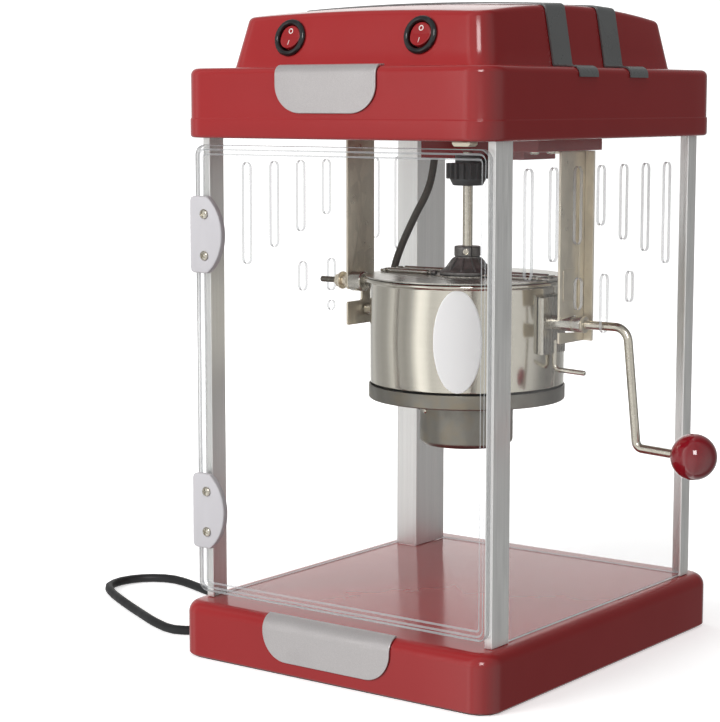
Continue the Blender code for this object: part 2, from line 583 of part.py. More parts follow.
knuckle_room = [box(-121, -112.3, -136, -127, z - 21, z + 21) for z in HINGE_Z]
screw_at = [(SCREW_X, z + s * SCREW_DZ) for z in HINGE_Z for s in (1, -1)]
door_at = (AXIS_X, AXIS_Y, 193.0)
piece("door_panel",
      loft([door_ring(0.4, DOOR_BACK), door_ring(0, DOOR_BACK - 0.4), door_ring(0, DOOR_FRONT + 0.5),
            door_ring(0.5, DOOR_FRONT), door_ring(2.7, DOOR_FRONT), door_ring(3.5, DOOR_FRONT + 0.8),
            door_ring(5.8, DOOR_FRONT + 0.8), door_ring(6.6, DOOR_FRONT + 1.6)]),
      CLEAR, origin=door_at, parent=DOOR_AXIS,
      cut=[merged(*knuckle_room),
           merged(*[prism(circle(x, z, 1.65, 12), "y", -140, -125) for x, z in screw_at])])
for name, z in zip(("upper", "lower"), HINGE_Z):
    r = (HINGE_HALF ** 2 + 12.8 ** 2) / (2 * 12.8)
    cx = -91.2 - r
    end = math.asin(HINGE_HALF / r)
    outline = [(-115.6, z + HINGE_HALF), (-118.6, z + HINGE_HALF - 3),
               (-118.6, z - HINGE_HALF + 3), (-115.6, z - HINGE_HALF)]
    outline += [(cx + r * math.cos(a), z + r * math.sin(a))
                for a in (end * (-1 + 2 * i / 8) for i in range(9))]
    plate = loft([[(x, -133.8, zz) for x, zz in outline], [(x, -137.1, zz) for x, zz in outline],
                  [(x + (0.6 if x < -105 else -0.5), -137.8, z + (zz - z) * 0.978)
                   for x, zz in outline]])
    knuckles = [prism(circle(AXIS_X, AXIS_Y, KNUCKLE_R, 12), "z", a, b)
                for a, b in ((z + 8.3, z + 20), (z - 20, z - 8.3))]
    webs = [box(AXIS_X - 1.7, AXIS_X + 1.7, -134.6, AXIS_Y - 0.7, a, b)
            for a, b in ((z + 8.3, z + 20), (z - 20, z - 8.3))]
    piece("hinge_plate_" + name, plate, HINGE, origin=door_at, parent=DOOR_AXIS,
          add=[merged(*webs), merged(*knuckles)],
          cut=[box(-125, -112.6, -135.8, -130, z - 8.3, z + 8.3),
               merged(*[prism(circle(AXIS_X, AXIS_Y, PIN_BORE, 12), "z", a, b)
                        for a, b in ((z + 7, z + 22), (z - 22, z - 7))]),
               merged(*[prism(circle(SCREW_X, z + s * SCREW_DZ, 1.65, 12), "y", -141, -130)
                        for s in (1, -1)])])
    piece("hinge_leaf_" + name,
          box(AXIS_X - KNUCKLE_R + 0.5, AXIS_X - 0.1, AXIS_Y, -111, z - 8, z + 8), ZINC,
          add=[prism(circle(AXIS_X, AXIS_Y, KNUCKLE_R, 14), "z", z - 8, z + 8)],
          cut=[prism(circle(AXIS_X, AXIS_Y, PIN_BORE, 12), "z", z - 12, z + 12)])
    piece("hinge_pin_" + name, prism(circle(AXIS_X, AXIS_Y, PIN_R, 12), "z", z - 20, z + 20),
          STEEL)
for name, (x, z) in zip(("hinge_screw_upper_a", "hinge_screw_upper_b", "hinge_screw_lower_a",
                         "hinge_screw_lower_b"), screw_at):
    head = lathe([(0, 0), (1.3, 0), (1.3, 8.2), (3.3, 8.2), (3.3, 8.7), (2.4, 9.6), (0, 9.9)],
                 16, 0, 0)
    piece(name, placed(head, Matrix.Translation((x, -129.9, z))
                       @ Matrix.Rotation(math.radians(90), 4, "X")), STEEL,
          origin=door_at, parent=DOOR_AXIS)
piece("door_catch", prism([(89.5, 347.7), (89.5, 346.2), (91, 344.9), (101, 344.9),
                           (102.5, 346.2), (102.5, 347.7)], "y", -136.5, -127.9), ZINC)

# ---- kettle -----------------------------------------------------------------------------------
AT = (KX, KY, PIVOT_Z)
piece("kettle_pot", lathe(
    [(0, POT_FLOOR), (64.8, POT_FLOOR), (POT_R, POT_FLOOR + 1.7), (POT_R, 249.4),
     (69.4, 249.9), (RIM_R, 251.1), (69.4, RIM_Z), (65.6, RIM_Z), (65.6, POT_FLOOR + 2.2),
     (64.0, POT_FLOOR + 1.0), (0, POT_FLOOR + 1.0)], 44), STEEL, origin=AT, parent=TILT_AXIS)
piece("kettle_skirt", lathe([(29, 170), (66.6, 170), (67.3, 170.7), (67.3, 179.7), (66.2, 179.7),
                             (66.2, 171.2), (29, 171.2)], 40, loop=True), DARK_STEEL,
      origin=AT, parent=TILT_AXIS)
piece("heater_element", lathe([(37, 172.0), (43, 172.0), (45, 175.6), (43, 179.2), (37, 179.2),
                               (35, 175.6)], 16, loop=True), DARK_STEEL,
      origin=AT, parent=TILT_AXIS)
piece("heater_housing", lathe([(0, 138), (29.4, 138), (32, 140.6), (32, 169.7), (30.9, 169.7),
                               (30.9, 139.4), (0, 139.4)], 28),
      DARK_STEEL, origin=AT, parent=TILT_AXIS,
      cut=[tube([(-17, 13.4, 155), (-34.5, 21.9, 155)], 3.3, 12)])

# lid: a fixed bridge across the rim with a disc under the hub, and a flap hinged on each side
open_a = math.asin(ARM_HALF / 22.5)
bridge = []
for s in (1, -1):
    bridge += [(KX + s * 22.5 * math.cos(a), KY + s * 22.5 * math.sin(a))
               for a in (open_a + (math.pi - 2 * open_a) * i / 8 for i in range(9))]
    bridge += [(KX - s * 68.9, KY + s * ARM_HALF), (KX - s * 68.9, KY - s * ARM_HALF)]
ears, rods = [], []
for s in (-1, 1):
    hinge_y = KY + s * LID_AXIS_DY
    for t in (-1, 1):
        for a, b in ((23.0, 24.6), (61.6, 63.2)):
            xs = sorted((KX + t * a, KX + t * b))
            ys = sorted((hinge_y + s * 1.3, KY + s * (ARM_HALF - 2)))
            ears.append(box(*xs, *ys, LID_Z + LID_T + 0.35, LID_AXIS_Z + 1.4))
        rods.append(turned_along_x([(0, KX + t * 63), (ROD_R, KX + t * 63), (ROD_R, KX + t * 20.9),
                                    (1.2, KX + t * 20.9), (1.2, KX + t * 19.6),
                                    (0, KX + t * 19.6)][::t], 8, hinge_y, LID_AXIS_Z))
piece("lid_bridge", prism(bridge, "z", LID_Z, LID_Z + 1.5), STEEL, origin=AT, parent=TILT_AXIS,
      add=[merged(*ears), merged(*rods)],
      cut=[prism(circle(KX, KY, SHAFT_R + 0.4, 24), "z", 250, 256)])
for name, s in (("lid_flap_front", -1), ("lid_flap_rear", 1)):
    hinge_y = KY + s * LID_AXIS_DY
    edge = 8.7                                  # the flap's straight edge, from the lid's middle
    outline = []
    a0 = math.asin(edge / LID_R)
    outline += [(LID_R * math.cos(a), LID_R * math.sin(a))
                for a in (a0 + (math.pi - 2 * a0) * i / 20 for i in range(21))]
    b0 = math.asin(edge / 23.2)
    for lo, hi in ((64.0, 60.8),):
        outline += [(-lo, edge), (-lo, 13.2), (-hi, 13.2), (-hi, edge)]
    outline += [(-25.4, edge), (-25.4, 13.2), (-23.2 * math.cos(math.asin(13.2 / 23.2)), 13.2)]
    c0 = math.asin(13.2 / 23.2)
    outline += [(23.2 * math.cos(a), 23.2 * math.sin(a))
                for a in (math.pi - c0 - (math.pi - 2 * c0) * i / 8 for i in range(1, 8))]
    outline += [(23.2 * math.cos(c0), 13.2), (25.4, 13.2), (25.4, edge), (60.8, edge),
                (60.8, 13.2), (64.0, 13.2), (64.0, edge)]
    outline = [(KX + x, KY + s * y) for x, y in outline]
    barrels = [turned_along_x([(BARREL_R, KX + t * a), (BARREL_R, KX + t * b),
                               (ROD_R + 0.45, KX + t * b), (ROD_R + 0.45, KX + t * a)], 10,
                              hinge_y, LID_AXIS_Z, loop=True)
               for t in (-1, 1) for a, b in ((26.0, 58.5),)]
    piece(name, prism(outline, "z", LID_Z, LID_Z + LID_T), STEEL,
          origin=(KX, hinge_y, LID_AXIS_Z), parent=TILT_AXIS, add=[merged(*barrels)],
          cut=[merged(*[turned_along_x([(0, KX + t * 20), (ROD_R + 0.45, KX + t * 20),
                                        (ROD_R + 0.45, KX + t * 66), (0, KX + t * 66)], 10,
                                       hinge_y, LID_AXIS_Z) for t in (-1, 1)])])

hub_z = LID_Z + 1.8
piece("shaft_hub", lathe(
    [(SHAFT_R + 0.4, hub_z), (18.8, hub_z), (18.8, hub_z + 2.0), (16.0, hub_z + 2.6),
     (14.6, hub_z + 4.6), (10.4, hub_z + 10.4), (9.0, hub_z + 11.4),
     (9.0, hub_z + 18.6), (8.4, hub_z + 19.1), (SHAFT_R + 0.4, hub_z + 19.1)], 24, loop=True),
      CAST, origin=AT, parent=TILT_AXIS)

# ears: a saddle on each side of the pot, with the pin or the bush on the tilt axis
wall = prism(circle(KX, KY, POT_R + GAP + 0.15, 88), "z", 190, 260)
piece("pivot_ear_left", box(-65.0, -52.0, -6.5, 21.5, 205, 243), STEEL, origin=AT,
      parent=TILT_AXIS, cut=[wall],
      add=[turned_along_x([(0, -87.5), (4.6, -87.5), (4.9, -86.9), (4.9, -84.6), (3.0, -84.6),
                           (3.0, -80.9), (4.4, -80.4), (4.4, -63.5), (0, -63.5)], 14,
                          KY, PIVOT_Z)])
wire = filleted([(74.4, 9, 214), (74.4, 9, 194.2), (98, 9, 193.2)], [4.5])
piece("pivot_ear_right", box(62.0, 75.0, -6.5, 21.5, 205, 243), STEEL, origin=AT,
      parent=TILT_AXIS, cut=[wall, turned_along_x([(0, 79), (3.3, 79), (3.3, 110), (0, 110)], 16,
                                                  KY, PIVOT_Z)],
      add=[turned_along_x([(0, 73.4), (5.2, 73.4), (5.2, 96.4), (4.6, 97.0), (0, 97.0)], 16,
                          KY, PIVOT_Z), tube(wire, 1.7, 8)])
crank = filleted([(79.5, KY, PIVOT_Z), (130.0, KY, PIVOT_Z), (138.2, KY, 147.7),
                  (171.0, KY, 146.0)], [10.0, 5.0], 14)
piece("crank_rod", tube(crank, 2.9, 10), STEEL, origin=AT, parent=TILT_AXIS)
ball = [(0, 194.8)] + [(15 * math.sin(math.radians(a)), 179.8 + 15 * math.cos(math.radians(a)))
                       for a in range(18, 163, 18)]
ball += [(3.25, 179.8 - 14.64), (3.25, 171.6), (0, 171.6)]
piece("ball_knob", turned_along_x(ball, 20, KY, 146.0), BALL, origin=AT, parent=TILT_AXIS)

cable = smooth_path([(-38.0, 30.0, 341.0), (-38.6, 30.0, 330.0), (-43.5, 30.2, 311.0),
                     (-54.5, 28.5, 290.0), (-64.0, 26.0, 269.0), (-69.0, 24.5, 253.0),
                     (-70.6, 24.0, 236.0), (-70.8, 24.0, 214.0), (-69.8, 24.0, 190.0),
                     (-66.0, 26.5, 172.0), (-55.0, 29.0, 159.0), (-42.0, 25.5, 155.2),
                     (-31.0, 20.2, 155.0), (-24.0, 16.8, 155.0)], 9.5)
piece("kettle_cable", tube(cable, 2.6, 8), CABLE, origin=AT, parent=TILT_AXIS)

# ---- stirrer and gears ----------------------------------------------------------------------------
arm = filleted([(KX - 55, KY, 196), (KX - 55, KY, 186.4), (KX + 50, KY, 186.4),
                (KX + 50, KY, 193)], [4, 4], 30)
piece("stirrer", lathe([(0, 183.6), (SHAFT_R - 0.6, 183.6), (SHAFT_R, 184.2), (SHAFT_R, 337.4),
                        (SHAFT_R - 0.6, 338.0), (0, 338.0)], 16), STEEL,
      origin=(KX, KY, 255.0), parent=SPIN_AXIS, add=[tube(arm, 1.6, 8)])


def teeth(n, pitch_r, phase, cx, cy):
    """A spur gear's outline: straight flanks, thinner than the gap so that a pair runs free."""
    pitch = 2 * math.pi / n
    tip, root = pitch_r + 0.92, pitch_r - 1.30
    pts = []
    for k in range(n):
        a = phase + k * pitch
        for half, r in ((0.27, root), (0.105, tip), (-0.105, tip), (-0.27, root)):
            pts.append((cx + r * math.cos(a - half * pitch), cy + r * math.sin(a - half * pitch)))
    return pts


phase = math.pi / 2                              # a gear tooth points at the pinion
outline = teeth(GEAR_TEETH, GEAR_R, phase, KX, KY)


g0, g1 = GEAR_Z
piece("driven_gear", prism(outline, "z", g0, g1), CHARCOAL, origin=(KX, KY, 255.0),
      parent=SPIN_AXIS,
      add=[lathe([(0, 315.0), (10.4, 315.0), (12.2, g0 - 0.6), (12.2, g0 + 1), (8.8, g1 - 1),
                  (8.8, 335.6), (0, 335.6)], 24)],
      cut=[prism(circle(KX, KY, SHAFT_R + 0.35, 16), "z", 310, 340)])
pinion_outline = teeth(PINION_TEETH, PINION_R, -math.pi / 2 + math.pi / PINION_TEETH, KX,
                       PINION_Y)
piece("motor_pinion", prism(pinion_outline, "z", g0 + 0.4, g1 - 0.2), CHARCOAL,
      origin=(KX, PINION_Y, 325.0),
      add=[lathe([(0, 321), (2.5, 321), (2.5, 329.5), (4.2, 329.5), (4.2, 331.8), (2.5, 331.8),
                  (2.5, 356.8), (0, 356.8)], 16, KX, PINION_Y)])

# ---- mains cord -----------------------------------------------------------------------------------
relief = lathe([(0, -9), (5.0, -9), (5.0, 2.6), (7.4, 2.6), (7.4, 4.2), (5.6, 5.0), (5.0, 18),
                (4.1, 34), (0, 34)], 20, 0, 0)
relief_at = Matrix.Translation((CORD_EXIT_X, BASE_HY, CORD_EXIT_Z)) @ Matrix.Rotation(
    math.radians(-90), 4, "X")
piece("cord_strain_relief", placed(relief, relief_at), RUBBER)
start_y = BASE_HY + 34 + 2 * GAP
route = [(CORD_EXIT_X, start_y + 7, CORD_EXIT_Z - 0.1),
         (CORD_EXIT_X - 2, start_y + 15, 14.9),
         (CORD_EXIT_X - 7, start_y + 26, 10.0), (CORD_EXIT_X - 24, start_y + 38, 4.0),
         (CORD_EXIT_X - 50, start_y + 30, 3.25), (-153, start_y, 3.25), (-147, 130, 3.25),
         (-138, 80, 3.25), (-134, 20, 3.25), (-134, -40, 3.25), (-136, -72, 3.25),
         (-146, -97, 3.25), (-163, -108, 3.25), (-183, -103, 3.25), (-215, -87.5, 3.25),
         (-248, -70, 3.25), (-277.2, -52.4, 3.25), (-289.9, -40.6, 3.25), (-294, -25.3, 3.25),
         (-289.9, -10.1, 3.25), (-278.8, 1.1, 3.25), (-266.2, 5.1, 3.25), (-254.1, 3.7, 3.25),
         (-220, -7.4, 3.25), (-186, -18.6, 3.25), (-175.2, -20.2, 3.25), (-164.1, -16.7, 3.25),
         (-154.2, -6.8, 3.25), (-150.6, 6.7, 3.25), (-150.6, 30, 3.25), (-151, 60, 3.25),
         (-157, 110, 3.25), (-167, 150, 3.25), (-173, 183, 3.25), (-166, 211, 3.25),
         (-146, 228.5, 3.25), (-122, 233.5, 3.25), (-100, 232.4, 3.25), (-80, 229.9, 3.25),
         (COIL_X - 23.0, COIL_Y + COIL_R, 3.25)]
path = [Vector((CORD_EXIT_X, start_y, CORD_EXIT_Z))] + smooth_path(route, 18.5)
curve = bpy.data.curves.new("mains_cord", "CURVE")
curve.dimensions = "3D"
spline = curve.splines.new("POLY")
spline.points.add(len(path) - 1)
for point, p in zip(spline.points, path):
    point.co = (*(p * MM), 1.0)
curve.bevel_depth = CORD_R * MM
curve.bevel_resolution = 2
curve.use_fill_caps = True
curve.materials.append(RUBBER)
cord = bpy.data.objects.new("mains_cord", curve)
bpy.context.scene.collection.objects.link(cord)

# the coil lies flat behind the base, two turns high, and its end runs out to the plug
tail = smooth_path([(COIL_X + COIL_R, COIL_Y + 12, 9.7), (COIL_X + COIL_R + 0.3, COIL_Y, 9.7),
                    (COIL_X + COIL_R + 4.5, COIL_Y - 10, 9.6),
                    (COIL_X + COIL_R + 13, COIL_Y - 16, 9.4),
                    (COIL_X + COIL_R + 27, COIL_Y - 18, 9.2)],
                   7)
piece("mains_cord_coil", lathe([(COIL_R - 3.4, 0.05), (COIL_R + 3.4, 0.05), (COIL_R + 3.4, 12.4),
                                (COIL_R + 2.4, 13.1), (COIL_R - 3.4, 13.1)], 28, COIL_X, COIL_Y,
                               loop=True), RUBBER,
      add=[tube(tail, CORD_R, 10),
           tube([(COIL_X - 23.0 + GAP, COIL_Y + COIL_R, 3.25), (COIL_X, COIL_Y + COIL_R, 3.25)],
                CORD_R, 12)])
plug_at = Matrix.Translation((COIL_X + COIL_R + 27.3, COIL_Y - 18, 9.2)) @ Matrix.Rotation(
    math.radians(90), 4, "Y")
body = [rrect(hx, hy, r, 0, 0, corner=4, nx=1, ny=1) for hx, hy, r in
        ((4.2, 4.2, 4.1), (5.4, 5.6, 5.0), (8.2, 9.6, 6.5), (8.8, 16.6, 7.0), (8.8, 17.4, 7.0))]
plug = loft([[(x, y, z) for x, y in ring] for ring, z in zip(body, (0, 16, 22, 32, 40))])
prongs = merged(*[prism(circle(0, s * 9.5, 2.4, 12), "z", 38, 59) for s in (-1, 1)])
piece("mains_plug", placed(plug, plug_at), BLACK, add=[placed(prongs, plug_at)])
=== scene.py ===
"""The looks of the countertop popcorn maker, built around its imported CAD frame.

Frame: metres, +Z up, -Y to the door, +X to the crank. The numbers below are millimetres unless
they say otherwise, and they repeat those of the CAD source.
"""
import math

import bmesh
import bpy
from mathutils import Matrix, Vector


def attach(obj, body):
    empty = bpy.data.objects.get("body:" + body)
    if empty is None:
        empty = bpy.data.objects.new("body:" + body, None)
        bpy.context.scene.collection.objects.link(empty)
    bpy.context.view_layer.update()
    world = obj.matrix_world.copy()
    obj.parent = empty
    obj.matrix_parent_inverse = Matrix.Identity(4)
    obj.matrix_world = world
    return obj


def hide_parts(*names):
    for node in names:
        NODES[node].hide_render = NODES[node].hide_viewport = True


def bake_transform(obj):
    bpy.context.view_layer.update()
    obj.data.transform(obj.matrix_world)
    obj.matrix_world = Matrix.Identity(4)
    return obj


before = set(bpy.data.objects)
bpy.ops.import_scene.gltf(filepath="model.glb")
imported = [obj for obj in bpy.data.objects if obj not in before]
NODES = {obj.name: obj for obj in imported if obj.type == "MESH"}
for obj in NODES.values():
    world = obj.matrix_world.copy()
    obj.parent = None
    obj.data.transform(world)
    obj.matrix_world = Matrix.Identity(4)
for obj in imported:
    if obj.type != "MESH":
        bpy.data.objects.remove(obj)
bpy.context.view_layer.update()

MM = 0.001
GAP = 0.3
BASE_HX, BASE_HY, BASE_R = 124.6, 145.5, 16.0
BASE_TOP, BASE_BOTTOM, BASE_EDGE, WALL = 38.0, 1.2, 8.5, 2.3
BAND_HX, BAND_HY, BAND_R = 120.8, 144.3, 19.0
BAND_LOW, BAND_TOP, BAND_EDGE, LIP_Z, LIP = 348.0, 393.0, 4.5, 361.0, 0.6
DOME_FOOT = (101.3, 119.15, 14.0, 0.65)
DOME_HEAD = (94.6, 112.8, 13.0, 1.8)
FOOT_Z, EAVES_Z, CROWN, SIDE_FALL = 393.8, 427.8, 7.4, 2.5
STRIPES = ((-42.4, -19.9), (21.4, 44.2))
POST_X, POST_Y, POST_T = 115.0, 127.5, 1.3
FRONT_LEG_X, FRONT_LEG_Y, REAR_LEG = 5.5, 19.1, 12.0
FLOOR, CEILING = BASE_TOP + GAP, 349.4
PANEL_T = 2.2
DOOR = (-117.0, 114.8, 43.3, 343.4)
DOOR_BACK, DOOR_FRONT = -129.5, -133.5
AXIS_X, AXIS_Y = -115.3, -131.5
HINGE_Z, HINGE_HALF = (284.5, 99.4), 25.3
KNUCKLE_R, PIN_R, PIN_BORE = 2.1, 0.8, 1.15
SCREW_X, SCREW_DZ = -105.9, 13.7
KX, KY = 5.0, 7.5
POT_R, RIM_R, POT_FLOOR, RIM_Z = 66.5, 70.2, 180.0, 252.6
PIVOT_Z = 225.7
LID_Z, LID_T, LID_R, ARM_HALF = 252.9, 0.9, 69.4, 6.5
LID_AXIS_DY, LID_AXIS_Z, BARREL_R, ROD_R = 9.6, 255.0, 1.9, 0.75
SHAFT_R = 3.4
GEAR_TEETH, PINION_TEETH, MODULE = 18, 9, 1.55
GEAR_Z = (319.6, 330.0)
GEAR_R, PINION_R = GEAR_TEETH * MODULE / 2, PINION_TEETH * MODULE / 2
PINION_Y = KY + GEAR_R + PINION_R
HANG_L, HANG_R, SHEET = -82.8, 89.2, 1.6
SWITCH_X, SWITCH_Z, ROCK = 51.1, 412.0, math.radians(8.0)
CORD_R, CORD_EXIT_X, CORD_EXIT_Z = 3.2, -92.0, 17.0
COIL_X, COIL_Y, COIL_R = -40.0, 192.0, 36.8

# ---- camera ---------------------------------------------------------------------------------------
AZIMUTH, PITCH, DISTANCE = math.radians(36.77), math.radians(7.26), 1.45333
TARGET = Vector((-0.08097, 0.0, 0.18874))
forward = Vector((-math.sin(AZIMUTH) * math.cos(PITCH), math.cos(AZIMUTH) * math.cos(PITCH),
                  -math.sin(PITCH)))
lens = bpy.data.cameras.new("camera")
lens.lens, lens.sensor_width, lens.sensor_fit = 102.398, 36.0, "HORIZONTAL"
lens.clip_start, lens.clip_end = 0.05, 40.0
camera = bpy.data.objects.new("camera", lens)
camera.location = TARGET - forward * DISTANCE
camera.rotation_euler = forward.to_track_quat("-Z", "Y").to_euler()
bpy.context.scene.collection.objects.link(camera)
bpy.context.scene.camera = camera
bpy.context.scene.view_settings.view_transform = "Standard"


# ---- shape helpers --------------------------------------------------------------------------------
def rrect(hx, hy, r, cx=0.0, cy=0.0, corner=10, nx=8, ny=8):
    """A rectangle with round corners, counter-clockwise, with points along its sides."""
    r = max(r, 0.2)
    pts = []
    for k, (sx, sy) in enumerate(((1, 1), (-1, 1), (-1, -1), (1, -1))):
        ox, oy = cx + sx * (hx - r), cy + sy * (hy - r)
        for i in range(corner + 1):
            a = math.radians(90 * (k + i / corner))
            pts.append((ox + r * math.cos(a), oy + r * math.sin(a)))
        tx, ty = ((-1, 1), (-1, -1), (1, -1), (1, 1))[k]
        nxt = (cx + tx * (hx - r), cy + ty * (hy - r))
        a = math.radians(90 * (k + 1))
        end = (nxt[0] + r * math.cos(a), nxt[1] + r * math.sin(a))
        n = nx if k % 2 == 0 else ny
        x0, y0 = pts[-1]
        for i in range(1, n):
            pts.append((x0 + (end[0] - x0) * i / n, y0 + (end[1] - y0) * i / n))
    return pts


def loft(rings, cap=True, loop=False):
    n = len(rings[0])
    verts = [p for ring in rings for p in ring]
    faces = []
    for k in range(len(rings) if loop else len(rings) - 1):
        a, b = k * n, ((k + 1) % len(rings)) * n
        for i in range(n):
            j = (i + 1) % n
            faces.append((a + i, a + j, b + j, b + i))
    if cap and not loop:
        faces.append(tuple(range(n))[::-1])
        faces.append(tuple((len(rings) - 1) * n + i for i in range(n)))
    return verts, faces


def box(x0, x1, y0, y1, z0, z1):
    return loft([[(x0, y0, z), (x1, y0, z), (x1, y1, z), (x0, y1, z)] for z in (z0, z1)])


def prism(outline, axis, a, b):
    put = {"z": lambda p, t: (p[0], p[1], t), "x": lambda p, t: (t, p[0], p[1]),
           "y": lambda p, t: (p[0], t, p[1])}[axis]
    return loft([[put(p, t) for p in outline] for t in (a, b)])


def lathe(profile, n, cx=KX, cy=KY, loop=False):
    turn = [(math.cos(2 * math.pi * i / n), math.sin(2 * math.pi * i / n)) for i in range(n)]
    if loop:
        return loft([[(cx + r * c, cy + r * s, z) for c, s in turn] for r, z in profile],
                    loop=True)
    verts = [(cx, cy, profile[0][1])]
    for r, z in profile[1:-1]:
        verts += [(cx + r * c, cy + r * s, z) for c, s in turn]
    verts.append((cx, cy, profile[-1][1]))
    top, faces, rings = len(verts) - 1, [], len(profile) - 2
    for i in range(n):
        j = (i + 1) % n
        faces.append((0, 1 + j, 1 + i))
        for k in range(rings - 1):
            a, b = 1 + k * n, 1 + (k + 1) * n
            faces.append((a + i, a + j, b + j, b + i))
        a = 1 + (rings - 1) * n
        faces.append((a + i, a + j, top))
    return verts, faces


def turned_along_x(profile, n, cy, cz, loop=False):
    verts, faces = lathe(profile, n, 0, 0, loop)
    return [(z, cy + x, cz + y) for x, y, z in verts], faces


def eased(points, radius, steps=4, loop=False):
    """A profile whose corners are rounded to a small radius."""
    out = []
    n = len(points)
    for i, p in enumerate(points):
        if not loop and i in (0, n - 1):
            out.append(p)
            continue
        p = Vector(p)
        a, b = Vector(points[i - 1]), Vector(points[(i + 1) % n])
        u, v = a - p, b - p
        r = min(radius, u.length * 0.45, v.length * 0.45)
        if r < 1e-4:
            out.append(tuple(p))
            continue
        s, e = p + u.normalized() * r, p + v.normalized() * r
        for k in range(steps + 1):
            t = k / steps
            out.append(tuple(s * (1 - t) ** 2 + p * 2 * t * (1 - t) + e * t * t))
    return out


def filleted(points, radii, step=6):
    out = [Vector(points[0])]
    for i in range(1, len(points) - 1):
        p, a, b = Vector(points[i]), Vector(points[i - 1]), Vector(points[i + 1])
        u, v = (a - p).normalized(), (b - p).normalized()
        angle = u.angle(v)
        r = radii[i - 1]
        cut = r / math.tan(angle / 2)
        centre = p + (u + v).normalized() * (r / math.sin(angle / 2))
        s, e = p + u * cut - centre, p + v * cut - centre
        turn = s.angle(e)
        axis = s.cross(e).normalized()
        n = max(2, round(math.degrees(turn) / step))
        for k in range(n + 1):
            out.append(centre + Matrix.Rotation(turn * k / n, 3, axis) @ s)
    out.append(Vector(points[-1]))
    return out


def smooth_path(points, spacing, radius_points=24):
    pts = [Vector(p) for p in points]
    pts = [2 * pts[0] - pts[1]] + pts + [2 * pts[-1] - pts[-2]]
    fine = []
    for i in range(1, len(pts) - 2):
        p0, p1, p2, p3 = pts[i - 1:i + 3]
        t1 = max((p1 - p0).length, 1e-6) ** 0.5
        t2 = max((p2 - p1).length, 1e-6) ** 0.5
        t3 = max((p3 - p2).length, 1e-6) ** 0.5
        m1 = (p2 - p1) + t2 * ((p1 - p0) / t1 - (p2 - p0) / (t1 + t2))
        m2 = (p2 - p1) + t2 * ((p3 - p2) / t3 - (p3 - p1) / (t2 + t3))
        for k in range(radius_points):
            t = k / radius_points
            fine.append((2 * t ** 3 - 3 * t * t + 1) * p1 + (t ** 3 - 2 * t * t + t) * m1
                        + (-2 * t ** 3 + 3 * t * t) * p2 + (t ** 3 - t * t) * m2)
    fine.append(pts[-2])
    total = sum((b - a).length for a, b in zip(fine, fine[1:]))
    n = max(2, round(total / spacing))
    out, along, want = [fine[0]], 0.0, total / n
    for a, b in zip(fine, fine[1:]):
        d = (b - a).length
        while along + d >= want * len(out) and len(out) < n:
            out.append(a.lerp(b, (want * len(out) - along) / d))
        along += d
    out.append(fine[-1])
    return out


def tube(path, r, n=20):
    """A round bar along a path; r is one radius or one for each point."""
    path = [Vector(p) for p in path]
    radii = r if isinstance(r, (list, tuple)) else [r] * len(path)
    tangent = (path[1] - path[0]).normalized()
    side = tangent.orthogonal().normalized()
    rings = []
    for i, p in enumerate(path):
        a, b = path[max(i - 1, 0)], path[min(i + 1, len(path) - 1)]
        t = (b - a).normalized()
        side = (side - t * side.dot(t)).normalized()
        up = t.cross(side)
        rings.append([tuple(p + radii[i] * (math.cos(2 * math.pi * k / n) * side
                                            + math.sin(2 * math.pi * k / n) * up))
                      for k in range(n)])
    return loft(rings)


def stadium(cy, z0, z1, r, n=14):
    top = [(cy + r * math.cos(math.pi * i / n), z1 - r + r * math.sin(math.pi * i / n))
           for i in range(n + 1)]
    low = [(cy - r * math.cos(math.pi * i / n), z0 + r - r * math.sin(math.pi * i / n))
           for i in range(n + 1)]
    return top + low


def circle(cx, cy, r, n=40, start=0.0):
    return [(cx + r * math.cos(start + 2 * math.pi * i / n),
             cy + r * math.sin(start + 2 * math.pi * i / n)) for i in range(n)]


def merged(*shapes):
    verts, faces = [], []
    for v, f in shapes:
        faces += [tuple(i + len(verts) for i in face) for face in f]
        verts += list(v)
    return verts, faces


def placed(shape, matrix):
    verts, faces = shape
    return [tuple(matrix @ Vector(p)) for p in verts], faces


def to_mesh(name, shape):
    verts, faces = shape
    mesh = bpy.data.meshes.new(name)
    mesh.from_pydata([Vector(p) * MM for p in verts], [], faces)
    bm = bmesh.new()
    bm.from_mesh(mesh)
    bmesh.ops.recalc_face_normals(bm, faces=bm.faces)
    bm.to_mesh(mesh)
    bm.free()
    return mesh


def baked(obj):
    """Puts an object's modifiers into its mesh."""
    bpy.context.view_layer.update()
    result = bpy.data.meshes.new_from_object(
        obj.evaluated_get(bpy.context.evaluated_depsgraph_get()))
    obj.modifiers.clear()
    obj.data = result


def combine(obj, shape, how):
    tool = bpy.data.objects.new("tool", to_mesh("tool", shape))
    bpy.context.scene.collection.objects.link(tool)
    mod = obj.modifiers.new(how, "BOOLEAN")
    mod.operation, mod.solver, mod.object = how, "EXACT", tool
    baked(obj)
    bpy.data.objects.remove(tool, do_unlink=True)


